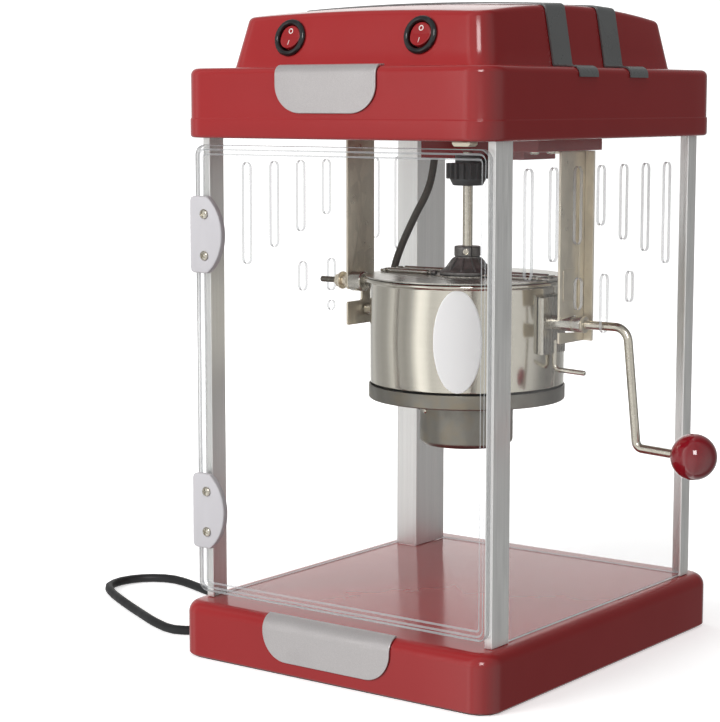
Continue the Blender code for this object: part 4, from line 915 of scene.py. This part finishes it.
piece("upright_channel", prism(duct, "z", FLOOR, CEILING), ALU, "cabinet", "wiring_duct",
      bevel=0.35)

# ---- door and its hinges --------------------------------------------------------------------------
door_cx, door_hx = (DOOR[0] + DOOR[1]) / 2, (DOOR[1] - DOOR[0]) / 2
door_cz, door_hz = (DOOR[2] + DOOR[3]) / 2, (DOOR[3] - DOOR[2]) / 2


def door_ring(inset, y):
    return [(x, y, z) for x, z in
            rrect(door_hx - inset, door_hz - inset, 7 - 0.8 * inset, door_cx, door_cz,
                  corner=12, nx=1, ny=1)]


knuckle_room = [box(-121, -112.3, -136, -127, z - 21, z + 21) for z in HINGE_Z]
screw_at = [(SCREW_X, z + s * SCREW_DZ) for z in HINGE_Z for s in (1, -1)]
clear_faces(piece("clear_door",
      loft([door_ring(0.5, DOOR_BACK), door_ring(0.15, DOOR_BACK - 0.1),
            door_ring(0, DOOR_BACK - 0.45), door_ring(0, DOOR_FRONT + 0.6),
            door_ring(0.2, DOOR_FRONT + 0.15), door_ring(0.6, DOOR_FRONT),
            door_ring(2.5, DOOR_FRONT), door_ring(2.9, DOOR_FRONT + 0.15),
            door_ring(3.3, DOOR_FRONT + 0.75), door_ring(3.7, DOOR_FRONT + 0.85),
            door_ring(5.6, DOOR_FRONT + 0.85), door_ring(6.0, DOOR_FRONT + 1.0),
            door_ring(6.4, DOOR_FRONT + 1.5), door_ring(6.8, DOOR_FRONT + 1.6)]),
      CLEAR, "door", "door_panel", angle=25,
      cut=[merged(*knuckle_room),
           merged(*[prism(circle(x, z, 1.65, 24), "y", -140, -125) for x, z in screw_at])]), 1)
for name, z in zip(("upper", "lower"), HINGE_Z):
    r = (HINGE_HALF ** 2 + 12.8 ** 2) / (2 * 12.8)
    cx = -91.2 - r
    end = math.asin(HINGE_HALF / r)
    outline = [(-115.6, z + HINGE_HALF), (-117.7, z + HINGE_HALF - 0.9),
               (-118.6, z + HINGE_HALF - 3), (-118.6, z - HINGE_HALF + 3),
               (-117.7, z - HINGE_HALF + 0.9), (-115.6, z - HINGE_HALF)]
    outline += [(cx + r * math.cos(a), z + r * math.sin(a))
                for a in (end * (-1 + 2 * i / 40) for i in range(41))]
    rings = []
    for off, y in ((0.0, -133.8), (0.0, -136.9), (0.15, -137.3), (0.5, -137.65), (1.0, -137.8)):
        rings.append([(x, y, zz) for x, zz in
                      (inset_outline(outline, off) if off else outline)])
    knuckles = [prism(circle(AXIS_X, AXIS_Y, KNUCKLE_R, 32), "z", a, b)
                for a, b in ((z + 8.3, z + 20), (z - 20, z - 8.3))]
    webs = [box(AXIS_X - 1.7, AXIS_X + 1.7, -134.6, AXIS_Y - 0.7, a, b)
            for a, b in ((z + 8.3, z + 20), (z - 20, z - 8.3))]
    sinks = [prism(circle(SCREW_X, z + s * SCREW_DZ, 1.65, 24), "y", -141, -130)
             for s in (1, -1)]
    piece("hinge_cover_" + name, loft(rings), HINGE, "door", "hinge_plate_" + name,
          add=[merged(*webs), merged(*knuckles)], angle=55,
          cut=[box(-125, -112.6, -135.8, -130, z - 8.3, z + 8.3),
               merged(*[prism(circle(AXIS_X, AXIS_Y, PIN_BORE, 24), "z", a, b)
                        for a, b in ((z + 7, z + 22), (z - 22, z - 7))]), merged(*sinks)])
    piece("hinge_knuckle_" + name,
          box(AXIS_X - KNUCKLE_R + 0.5, AXIS_X - 0.1, AXIS_Y, -111, z - 8, z + 8), ZINC,
          "cabinet", "hinge_leaf_" + name,
          add=[prism(circle(AXIS_X, AXIS_Y, KNUCKLE_R, 32), "z", z - 8, z + 8)],
          cut=[prism(circle(AXIS_X, AXIS_Y, PIN_BORE, 24), "z", z - 12, z + 12)], angle=35)
    piece("hinge_rod_" + name, lathe(eased([(0, z - 20), (PIN_R, z - 20), (PIN_R, z + 20),
                                            (0, z + 20)], 0.3), 20, AXIS_X, AXIS_Y), ROD,
          "cabinet", "hinge_pin_" + name)
for name, (x, z) in zip(("upper_a", "upper_b", "lower_a", "lower_b"), screw_at):
    head = lathe([(0, 0), (1.3, 0), (1.3, 8.2), (3.25, 8.2), (3.3, 8.45), (3.2, 8.8),
                  (2.8, 9.3), (2.1, 9.7), (1.2, 9.86), (0, 9.9)], 36, 0, 0)
    turn = Matrix.Translation((x, -129.9, z)) @ Matrix.Rotation(math.radians(90), 4, "X")
    twist = {"upper_a": 20, "upper_b": 55, "lower_a": 5, "lower_b": 70}[name]
    turn = turn @ Matrix.Rotation(math.radians(twist), 4, "Z")
    cross = merged(box(-2.1, 2.1, -0.38, 0.38, 8.9, 11), )
    cross2 = box(-0.38, 0.38, -2.1, 2.1, 8.9, 11)
    piece("cross_screw_" + name, placed(head, turn), ROD, "door", "hinge_screw_" + name,
          cut=[placed(cross, turn), placed(cross2, turn)], angle=50)
piece("catch_bar", prism([(89.5, 347.7), (89.5, 346.2), (91, 344.9), (101, 344.9),
                          (102.5, 346.2), (102.5, 347.7)], "y", -136.5, -127.9), ZINC, "cabinet",
      "door_catch", bevel=0.35)

# ---- kettle ---------------------------------------------------------------------------------------
pot = [(0, POT_FLOOR), (62.5, POT_FLOOR), (64.8, POT_FLOOR + 0.1), (66.0, POT_FLOOR + 0.7),
       (POT_R, POT_FLOOR + 1.9), (POT_R, 214), (POT_R, 248.6), (66.8, 249.3), (67.6, 249.6),
       (69.1, 249.85), (69.9, 250.3), (RIM_R, 251.1), (70.0, 251.9), (69.4, 252.4), (68.6, RIM_Z),
       (66.6, RIM_Z), (65.9, 252.3), (65.6, 251.6), (65.6, POT_FLOOR + 2.6),
       (65.1, POT_FLOOR + 1.5), (64.0, POT_FLOOR + 1.0), (0, POT_FLOOR + 1.0)]
piece("kettle_bowl", lathe(pot, 128), POT, "kettle", "kettle_pot", angle=50)
piece("kettle_base_ring", lathe(eased(
    [(29, 170), (66.6, 170), (67.3, 170.7), (67.3, 179.7), (66.2, 179.7), (66.2, 171.2),
     (29, 171.2)], 0.3, 3, True), 112, loop=True), STAINED, "kettle", "kettle_skirt",
      angle=50)
piece("heater_drum", lathe(eased(
    [(0, 138), (29.4, 138), (32, 140.6), (32, 169.7), (30.9, 169.7), (30.9, 139.4), (0, 139.4)],
    0.9), 88), STAINED, "kettle", "heater_housing",
    cut=[tube([(-17, 13.4, 155), (-34.5, 21.9, 155)], 3.3, 24)], angle=50)
# the housing's three fixing screws
for n, a in enumerate((-118, 2, 122)):
    spin = Matrix.Translation((KX, KY, 0)) @ Matrix.Rotation(math.radians(a), 4, "Z")
    piece(f"drum_screw_{n + 1}", placed(turned_along_x(
        eased([(0, 31.6), (2.3, 31.6), (2.3, 32.5), (1.6, 33.2), (0, 33.4)], 0.3), 24, 0, 162.5),
        spin), ROD, "kettle")

# white enamel oval on the pot's wall
centre_a, half_a, mid_z, half_z = math.radians(-61.6), 0.247, 215.2, 34.0
verts, faces, rows, cols = [], [], 28, 28
for layer, r in enumerate((POT_R + 0.02, POT_R + 0.26)):
    for i in range(rows + 1):
        v = -1 + 2 * i / rows
        v = math.sin(v * math.pi / 2)
        w = math.sqrt(max(0.0, 1 - v * v))
        shrink = 0.985 if layer else 1.0
        for j in range(cols + 1):
            u = -1 + 2 * j / cols
            a = centre_a + half_a * u * w * shrink
            verts.append((KX + r * math.cos(a), KY + r * math.sin(a),
                          mid_z + half_z * v * shrink))
step = (rows + 1) * (cols + 1)
for layer in (0, 1):
    for i in range(rows):
        for j in range(cols):
            q = [layer * step + i * (cols + 1) + j, layer * step + i * (cols + 1) + j + 1,
                 layer * step + (i + 1) * (cols + 1) + j + 1, layer * step + (i + 1) * (cols + 1) + j]
            faces.append(tuple(q if layer else q[::-1]))
for i in range(rows):
    for j in (0, cols):
        q = [i * (cols + 1) + j, (i + 1) * (cols + 1) + j]
        faces.append((q[0], q[1], q[1] + step, q[0] + step))
piece("kettle_oval", (verts, faces), LABEL, "kettle", angle=50)

# lid: a fixed bridge across the rim with a disc under the hub, and a flap hinged on each side
open_a = math.asin(ARM_HALF / 22.5)
bridge = []
for s in (1, -1):
    bridge += [(KX + s * 22.5 * math.cos(a), KY + s * 22.5 * math.sin(a))
               for a in (open_a + (math.pi - 2 * open_a) * i / 30 for i in range(31))]
    bridge += [(KX - s * 68.9, KY + s * ARM_HALF), (KX - s * 68.9, KY - s * ARM_HALF)]
ears, rods = [], []
for s in (-1, 1):
    hinge_y = KY + s * LID_AXIS_DY
    for t in (-1, 1):
        for a, b in ((23.0, 24.6), (61.6, 63.2)):
            xs = sorted((KX + t * a, KX + t * b))
            ys = sorted((hinge_y + s * 1.3, KY + s * (ARM_HALF - 2)))
            ears.append(box(*xs, *ys, LID_Z + LID_T + 0.35, LID_AXIS_Z + 1.4))
        rods.append(turned_along_x([(0, KX + t * 66.2), (0.5, KX + t * 66.2),
                                    (ROD_R, KX + t * 65.9), (ROD_R, KX + t * 20.9),
                                    (1.2, KX + t * 20.9), (1.2, KX + t * 19.6),
                                    (0, KX + t * 19.6)][::t], 20, hinge_y, LID_AXIS_Z))
piece("lid_strap", prism(bridge, "z", LID_Z, LID_Z + 1.5), LID, "kettle", "lid_bridge",
      add=[merged(*ears)],
      cut=[prism(circle(KX, KY, SHAFT_R + 0.4, 32), "z", 250, 256)], bevel=0.2, segments=2)
for n, rod in enumerate(rods):
    piece(f"lid_rod_{n + 1}", rod, ROD, "kettle", angle=50)
for n, (t, s) in enumerate(((-1, -1), (1, 1))):
    piece(f"lid_rod_knob_{n + 1}", turned_along_x(
        eased([(0, KX + t * 19.2), (1.75, KX + t * 19.2), (1.75, KX + t * 22.4),
               (0, KX + t * 22.4)][::-t], 0.6), 28, KY + s * LID_AXIS_DY, LID_AXIS_Z), CAST,
          "kettle")
for name, s in (("front", -1), ("rear", 1)):
    hinge_y = KY + s * LID_AXIS_DY
    edge = 8.7
    a0 = math.asin(edge / LID_R)
    outline = [(LID_R * math.cos(a), LID_R * math.sin(a))
               for a in (a0 + (math.pi - 2 * a0) * i / 80 for i in range(81))]
    for lo, hi in ((64.0, 60.8),):
        outline += [(-lo, edge), (-lo, 13.2), (-hi, 13.2), (-hi, edge)]
    c0 = math.asin(13.2 / 23.2)
    outline += [(-25.4, edge), (-25.4, 13.2), (-23.2 * math.cos(c0), 13.2)]
    outline += [(23.2 * math.cos(a), 23.2 * math.sin(a))
                for a in (math.pi - c0 - (math.pi - 2 * c0) * i / 24 for i in range(1, 24))]
    outline += [(23.2 * math.cos(c0), 13.2), (25.4, 13.2), (25.4, edge), (60.8, edge),
                (60.8, 13.2), (64.0, 13.2), (64.0, edge)]
    outline = [(KX + x, KY + s * y) for x, y in outline]
    barrels = [turned_along_x([(BARREL_R, KX + t * a), (BARREL_R, KX + t * b),
                               (ROD_R + 0.45, KX + t * b), (ROD_R + 0.45, KX + t * a)], 28,
                              hinge_y, LID_AXIS_Z, loop=True)
               for t in (-1, 1) for a, b in ((26.0, 41.6), (42.1, 58.5))]
    piece("lid_leaf_" + name, prism(outline, "z", LID_Z, LID_Z + LID_T), LID, "lid_" + name,
          "lid_flap_" + name, add=[merged(*barrels)], angle=35,
          cut=[merged(*[turned_along_x([(0, KX + t * 20), (ROD_R + 0.45, KX + t * 20),
                                        (ROD_R + 0.45, KX + t * 66), (0, KX + t * 66)], 20,
                                       hinge_y, LID_AXIS_Z) for t in (-1, 1)])])

# hub: a flange, a cone with ribs and a split collar with its clamp screw
hub_z = LID_Z + 1.8
bore = SHAFT_R + 0.4
piece("hub_casting", lathe(eased(
    [(bore, hub_z), (18.8, hub_z), (18.8, hub_z + 2.0), (16.0, hub_z + 2.6),
     (13.2, hub_z + 4.6), (9.6, hub_z + 10.0), (8.6, hub_z + 11.2), (8.6, hub_z + 12.2),
     (bore, hub_z + 12.2)], 0.4, 3, True), 72, loop=True), CAST, "kettle", "shaft_hub",
      angle=50)
for n in range(10):
    spin = Matrix.Translation((KX, KY, 0)) @ Matrix.Rotation(2 * math.pi * n / 10, 4, "Z")
    rib = prism([(8.2, hub_z + 2.2), (16.4, hub_z + 2.2), (14.9, hub_z + 4.6),
                 (10.6, hub_z + 10.4), (9.2, hub_z + 11.4), (8.2, hub_z + 11.4)], "y", -0.7, 0.7)
    piece(f"hub_rib_{n + 1}", placed(rib, spin), CAST, "kettle", bevel=0.25, segments=2)
collar = lathe(eased([(bore, hub_z + 12.4), (9.0, hub_z + 12.4), (9.0, hub_z + 18.6),
                      (8.4, hub_z + 19.1), (bore, hub_z + 19.1)], 0.35, 3, True), 72, loop=True)
toward = math.radians(-38)
spin = Matrix.Translation((KX, KY, 0)) @ Matrix.Rotation(toward, 4, "Z")
piece("hub_collar", collar, CAST, "kettle", angle=50,
      cut=[placed(box(0, 12, -0.45, 0.45, hub_z + 10, hub_z + 22), spin)])
piece("hub_collar_screw", placed(merged(turned_along_x(
    eased([(0, 8.4), (2.1, 8.4), (2.1, 10.3), (0.95, 10.5), (0.9, 9.6), (0, 9.6)], 0.15), 24, 0,
    0)), Matrix.Translation((KX, KY, hub_z + 15.6)) @ Matrix.Rotation(toward - 0.42, 4, "Z")),
      ROD, "kettle", angle=50)

# ears: a saddle on each side of the pot, with the pin or the bush on the tilt axis
wall = prism(circle(KX, KY, POT_R + GAP + 0.15, 160), "z", 190, 260)
piece("pivot_saddle_left", box(-65.0, -52.0, -6.5, 21.5, 205, 243), LID, "kettle",
      "pivot_ear_left", cut=[wall], bevel=0.5, segments=2,
      add=[turned_along_x([(0, -87.5), (4.6, -87.5), (4.9, -86.9), (4.9, -84.6), (3.0, -84.6),
                           (3.0, -80.9), (4.4, -80.4), (4.4, -63.5), (0, -63.5)], 40,
                          KY, PIVOT_Z)], limit=50)
wire = filleted([(74.4, 9, 214), (74.4, 9, 194.2), (97.4, 9, 193.2)], [4.5])
wire_r = [1.7] * len(wire)
wire += [wire[-1] + Vector((0.5, 0, 0)), wire[-1] + Vector((0.62, 0, 0))]
wire_r += [1.35, 0.7]
piece("pivot_saddle_right", box(62.0, 75.0, -6.5, 21.5, 205, 243), LID, "kettle",
      "pivot_ear_right", bevel=0.5, segments=2, limit=50,
      cut=[wall, turned_along_x([(0, 79), (3.3, 79), (3.3, 110), (0, 110)], 32, KY, PIVOT_Z)],
      add=[turned_along_x([(0, 73.4), (5.2, 73.4), (5.2, 96.4), (4.6, 97.0), (0, 97.0)], 44,
                          KY, PIVOT_Z)])
piece("stop_wire", tube(wire, wire_r, 20), ROD, "kettle")
crank = filleted([(79.5, KY, PIVOT_Z), (130.0, KY, PIVOT_Z), (138.2, KY, 147.7),
                  (171.0, KY, 146.0)], [10.0, 5.0], 5)
piece("crank_bar", tube(crank, 2.9, 32), ROD, "kettle", "crank_rod")
ball = [(0, 194.8)] + [(15 * math.sin(math.radians(a)), 179.8 + 15 * math.cos(math.radians(a)))
                       for a in range(6, 163, 6)]
ball += [(4.4, 179.8 - 14.5), (3.6, 179.8 - 14.9), (3.25, 179.8 - 14.6), (3.25, 171.6),
         (0, 171.6)]
piece("crank_ball", turned_along_x(ball, 72, KY, 146.0), BALL, "kettle", "ball_knob",
      angle=50)
piece("crank_washer", turned_along_x(
    eased([(3.0, 97.4), (5.6, 97.4), (5.6, 98.6), (3.0, 98.6)], 0.25, 2, True), 40, KY, PIVOT_Z,
    loop=True), ZINC, "kettle")

# ---- hangers --------------------------------------------------------------------------------------
left_web = [(-13.7, CEILING), (-13.7, 242.0), (3.0, 242.0), (3.0, 232.0), (-13.7, 232.0),
            (-13.7, 215.5), (17.3, 215.5), (17.3, CEILING)]
left_web = eased(left_web, 1.6, 4, True)
flat("strap_left", [left_web, circle(KY, PIVOT_Z, 3.4, 32), circle(-8.0, 246.5, 2.4, 24)], "x",
     HANG_L, HANG_L + SHEET, ZINC, "cabinet", "hanger_left", "zinc_plated_steel", bevel=0.2)
piece("strap_left_flange", box(HANG_L - 7, HANG_L - 0.02, 15.7, 17.28, 242, CEILING - 0.05), ZINC,
      "cabinet", bevel=0.35)
piece("strap_left_foot", box(HANG_L + SHEET + 0.02, HANG_L + 14, -13.6, 17.2, CEILING - 1.6,
                             CEILING - 0.05), ZINC, "cabinet",
      bevel=0.3)
slot_cut = [(-12.5, PIVOT_Z + 5.6), (-12.5, 339.6), (19.5, 339.6), (19.5, 214.0),
            (-12.5, 214.0), (-12.5, PIVOT_Z - 5.6)]
slot_cut = eased(slot_cut, 1.4, 4, True)
slot_cut += [(KY + 5.6 * math.cos(math.radians(a)), PIVOT_Z + 5.6 * math.sin(math.radians(a)))
             for a in range(-90, 91, 9)]
flat("strap_right", [slot_cut], "x", HANG_R, HANG_R + SHEET, ZINC, "cabinet", "hanger_right",
     "zinc_plated_steel", bevel=0.2)
piece("strap_right_flange", box(HANG_R + SHEET + 0.02, HANG_R + 8.3, 17.9, 19.45, 214.0, 339.5),
      ZINC, "cabinet", bevel=0.35)
piece("strap_right_foot", box(HANG_R - 9.5, HANG_R - 0.02, -12.4, 19.4, 338.0, 339.55), ZINC,
      "cabinet", bevel=0.3)
# the raised rectangle pressed into the right strap, and the bead along its middle
pressed = prism(eased([(-8.5, 242.0), (3.5, 242.0), (3.5, 262.5), (-8.5, 262.5)], 2.0, 4, True),
                "x", HANG_R + SHEET, HANG_R + SHEET + 0.5)
piece("strap_right_boss", pressed, ZINC, "cabinet", bevel=0.3, segments=3)
piece("strap_right_bead", prism(stadium(11.5, 238.0, 300.0, 1.1, 8), "x", HANG_R + SHEET,
                                HANG_R + SHEET + 0.55), ZINC, "cabinet", bevel=0.3)
for n, (y, x) in enumerate(((-44.0, 90.0), (-24.0, 90.0))):
    at = Matrix.Translation((x, y, 340.0)) @ Matrix.Rotation(math.pi, 4, "X")
    piece(f"pad_screw_{n + 1}", placed(lathe(
        [(0, -0.5), (3.0, -0.5), (3.0, 0.6), (2.6, 1.3), (1.7, 1.8), (0, 2.0)], 28, 0, 0), at),
        ROD, "cabinet", cut=[placed(box(-2.0, 2.0, -0.35, 0.35, 1.0, 3), at),
                             placed(box(-0.35, 0.35, -2.0, 2.0, 1.0, 3), at)], angle=50)

# clamp bolt: a threaded rod with a hex nut, two washers, a spacer and a turned sleeve
thread = []
x = -108.4
while x < -94.7:
    thread += [(2.05, x), (1.62, x + 0.35)]
    x += 0.7
piece("clamp_rod", turned_along_x(
    [(0, -109), (1.5, -109)] + thread + [(1.9, -94.4), (1.9, -83.3), (2.0, -83.2), (2.0, -80.8),
                                         (1.8, -80.6), (0, -80.6)], 32, -8.0, 246.5),
      STAINED, "cabinet", "clamp_bolt", angle=60)
for n, (r, a, b) in enumerate(((4.9, -94.5, -91.2), (6.2, -90.9, -89.5), (6.2, -84.4, -83.1))):
    if n == 0:
        shape = prism(circle(-8.0, 246.5, r, 6, 0.2), "x", a, b)
    else:
        shape = turned_along_x([(1.95, a), (r, a), (r, b), (1.95, b)], 40, -8.0, 246.5, True)
    piece(f"clamp_washer_{n + 1}", shape, ZINC, "cabinet", bevel=0.25)
piece("clamp_spacer", turned_along_x([(1.95, -89.4), (3.6, -89.4), (3.6, -84.5), (1.95, -84.5)],
                                     36, -8.0, 246.5, True), ZINC, "cabinet", bevel=0.2)
piece("clamp_sleeve", turned_along_x(
    eased([(0, -80.8), (7.0, -80.8), (7.0, -71.2), (6.3, -70.5), (0, -70.5)], 0.4), 44, -8.0,
    246.5), LID, "cabinet", angle=50)

# ---- kettle cable ---------------------------------------------------------------------------------
cable = smooth_path([(-38.0, 30.0, 341.0), (-38.6, 30.0, 330.0), (-43.5, 30.2, 311.0),
                     (-54.5, 28.5, 290.0), (-64.0, 26.0, 269.0), (-69.0, 24.5, 253.0),
                     (-70.6, 24.0, 236.0), (-70.8, 24.0, 214.0), (-69.8, 24.0, 190.0),
                     (-66.0, 26.5, 172.0), (-55.0, 29.0, 159.0), (-42.0, 25.5, 155.2),
                     (-31.0, 20.2, 155.0), (-24.0, 16.8, 155.0)], 2.4)
sleeve = bpy.data.objects.new("kettle_lead", to_mesh("kettle_lead", tube(cable, 2.6, 20)))
bpy.context.scene.collection.objects.link(sleeve)
sleeve.data.materials.append(SLEEVE)
sleeve.data.shade_smooth()
uv = sleeve.data.uv_layers.new(name="weave")
around = 20
for poly in sleeve.data.polygons:
    if poly.loop_total != 4:
        continue
    ks = [(sleeve.data.loops[i].vertex_index // around,
           sleeve.data.loops[i].vertex_index % around) for i in poly.loop_indices]
    wraps = max(k[1] for k in ks) - min(k[1] for k in ks) > 1
    for i, (row, col) in zip(poly.loop_indices, ks):
        col = around if wraps and col == 0 else col
        uv.data[i].uv = (col / around * 4, row * 2.4 / 4.0)
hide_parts("kettle_cable")
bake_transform(sleeve)

# ---- stirrer and gears ----------------------------------------------------------------------------
arm = filleted([(KX - 55, KY, 196), (KX - 55, KY, 186.4), (KX + 50, KY, 186.4),
                (KX + 50, KY, 193)], [4, 4], 10)
piece("stirrer_shaft", lathe(eased([(0, 183.6), (SHAFT_R, 183.6), (SHAFT_R, 338.0), (0, 338.0)],
                                   0.6), 44), ROD, "stirrer", "stirrer",
      add=[tube(arm, 1.6, 18)], angle=50)


def teeth(n, pitch_r, phase, cx, cy):
    pitch = 2 * math.pi / n
    tip, root = pitch_r + 0.92, pitch_r - 1.30
    pts = []
    for k in range(n):
        a = phase + k * pitch
        for half, r in ((0.27, root), (0.225, root + 0.35), (0.15, pitch_r + 0.2),
                        (0.105, tip - 0.1), (0.085, tip), (-0.085, tip), (-0.105, tip - 0.1),
                        (-0.15, pitch_r + 0.2), (-0.225, root + 0.35), (-0.27, root)):
            pts.append((cx + r * math.cos(a - half * pitch), cy + r * math.sin(a - half * pitch)))
    return pts


g0, g1 = GEAR_Z
piece("driven_spur", prism(teeth(GEAR_TEETH, GEAR_R, math.pi / 2, KX, KY), "z", g0, g1),
      CHARCOAL, "stirrer", "driven_gear", angle=35,
      add=[lathe([(0, 315.0), (10.0, 315.0), (10.4, 315.4), (12.2, g0 - 0.6), (12.2, g0 + 1),
                  (8.8, g1 - 1), (8.8, 335.2), (8.4, 335.6), (0, 335.6)], 48)],
      cut=[prism(circle(KX, KY, SHAFT_R + 0.3, 32), "z", 310, 340)])
piece("pinion_spur", prism(teeth(PINION_TEETH, PINION_R, -math.pi / 2 + math.pi / PINION_TEETH,
                                 KX, PINION_Y), "z", g0 + 0.4, g1 - 0.2), CHARCOAL, "pinion",
      "motor_pinion", angle=35,
      add=[lathe([(0, 321), (2.5, 321), (2.5, 329.5), (4.2, 329.5), (4.2, 331.8), (2.5, 331.8),
                  (2.5, 356.8), (0, 356.8)], 32, KX, PINION_Y)])

# ---- CAD solids that stay as they are ---------------------------------------------------------------
for node, mat in (("base_bottom", BLACK), ("foot_front_left", RUBBER),
                  ("foot_front_right", RUBBER), ("foot_rear_left", RUBBER),
                  ("foot_rear_right", RUBBER), ("gear_motor", STAINED),
                  ("heater_element", STAINED)):
    obj = NODES[node]
    if obj.material_slots:
        for slot in obj.material_slots:
            slot.material = mat
    else:
        obj.data.materials.append(mat)

# ---- floor, light and surroundings ----------------------------------------------------------------
ground = bpy.data.meshes.new("ground")
ground.from_pydata([(-1.9, -1.9, 0), (1.9, -1.9, 0), (1.9, 1.9, 0), (-1.9, 1.9, 0)], [],
                   [(0, 1, 2, 3)])
floor = bpy.data.objects.new("ground", ground)
bpy.context.scene.collection.objects.link(floor)
f = Finish("studio_paper", (0.90, 0.90, 0.90), 0.9, specular=0.0)
f.tinted(f.noise(3, 2), 0.01)
f.shader.inputs["Emission Color"].default_value = (1, 1, 1, 1)
away = f.node("ShaderNodeVectorMath", operation="LENGTH")
f.link(f.place, away.inputs[0])
f.link(f.spread(away.outputs["Value"], 0.52, 1.0, 0.35, 1.1), f.shader.inputs["Emission Strength"])
ground.materials.append(f.mat)
floor.visible_glossy = floor.visible_diffuse = False

world = bpy.data.worlds.new("studio")
bpy.context.scene.world = world
world.use_nodes = True
tree = world.node_tree
tree.nodes.clear()


def wn(kind, **values):
    n = tree.nodes.new(kind)
    for key, value in values.items():
        setattr(n, key, value)
    return n


def wmath(how, *args):
    n = wn("ShaderNodeMath", operation=how)
    for socket, v in zip(n.inputs, args):
        if isinstance(v, (int, float)):
            socket.default_value = v
        else:
            tree.links.new(v, socket)
    return n.outputs[0]


coords = wn("ShaderNodeTexCoord").outputs["Generated"]
split = wn("ShaderNodeSeparateXYZ")
tree.links.new(coords, split.inputs[0])
angle = wmath("ARCTAN2", split.outputs["Y"], split.outputs["X"])
turn = wmath("ADD", wmath("DIVIDE", angle, 2 * math.pi), 0.5)      # 0..1 from -X round by -Y
bands = wn("ShaderNodeValToRGB")
# 0.0/1.0 -X, 0.25 -Y (door side), 0.5 +X, 0.75 +Y
stops = ((0.00, 0.45), (0.035, 0.50), (0.069, 0.92), (0.10, 0.60), (0.125, 0.45),
         (0.148, 0.62), (0.178, 1.60), (0.20, 1.40), (0.222, 0.85), (0.27, 1.05), (0.33, 0.95),
         (0.38, 0.72), (0.45, 0.82), (0.51, 0.90), (0.575, 0.72), (0.62, 0.30), (0.66, 0.16),
         (0.72, 0.28), (0.80, 0.60), (0.83, 1.30), (0.875, 1.30), (0.90, 0.50),
         (0.94, 0.72), (0.97, 0.50))
while len(bands.color_ramp.elements) < len(stops):
    bands.color_ramp.elements.new(0.5)
for e, (at, v) in zip(bands.color_ramp.elements, stops):
    e.position, e.color = at, (v, v, v * 0.985, 1)
tree.links.new(turn, bands.inputs[0])
lift = wn("ShaderNodeMapRange")
for key, v in (("From Min", -0.15), ("From Max", 0.85), ("To Min", 1.0), ("To Max", 0.55)):
    lift.inputs[key].default_value = v
tree.links.new(split.outputs["Z"], lift.inputs["Value"])
glossy = wn("ShaderNodeBackground")
tree.links.new(bands.outputs["Color"], glossy.inputs["Color"])
tree.links.new(lift.outputs["Result"], glossy.inputs["Strength"])
soft = wn("ShaderNodeBackground")
soft.inputs["Color"].default_value = (1, 1, 1, 1)
soft.inputs["Strength"].default_value = 0.36
white = wn("ShaderNodeBackground")
white.inputs["Color"].default_value = (1, 1, 1, 1)
white.inputs["Strength"].default_value = 1.3
rays = wn("ShaderNodeLightPath")
mix_a, mix_b = wn("ShaderNodeMixShader"), wn("ShaderNodeMixShader")
tree.links.new(rays.outputs["Is Diffuse Ray"], mix_a.inputs[0])
tree.links.new(glossy.outputs[0], mix_a.inputs[1])
tree.links.new(soft.outputs[0], mix_a.inputs[2])
tree.links.new(rays.outputs["Is Camera Ray"], mix_b.inputs[0])
tree.links.new(mix_a.outputs[0], mix_b.inputs[1])
tree.links.new(white.outputs[0], mix_b.inputs[2])
tree.links.new(mix_b.outputs[0], wn("ShaderNodeOutputWorld").inputs[0])


def light(name, at, toward, size, power, tall=None):
    data = bpy.data.lights.new(name, "AREA")
    data.shape, data.size, data.size_y, data.energy = "RECTANGLE", size, tall or size, power
    obj = bpy.data.objects.new(name, data)
    obj.location = at
    obj.rotation_euler = (Vector(toward) - Vector(at)).to_track_quat("-Z", "Y").to_euler()
    bpy.context.scene.collection.objects.link(obj)
    return obj


# the key and the fills give the shading, and the high softbox gives the glint on the corners
for obj in (light("key", (-0.80, -2.10, 0.95), (0, 0, 0.2), 1.2, 43, 1.2),
            light("top", (0.1, 0.1, 2.2), (0, 0, 0), 1.3, 7),
            light("back_left", (-1.7, 1.0, 0.9), (0, 0, 0.2), 0.7, 8, 1.1)):
    obj.visible_glossy = False
light("glint", (1.62, -2.16, 1.75), (0, 0, 0.4), 0.85, 34, 1.1).visible_diffuse = False
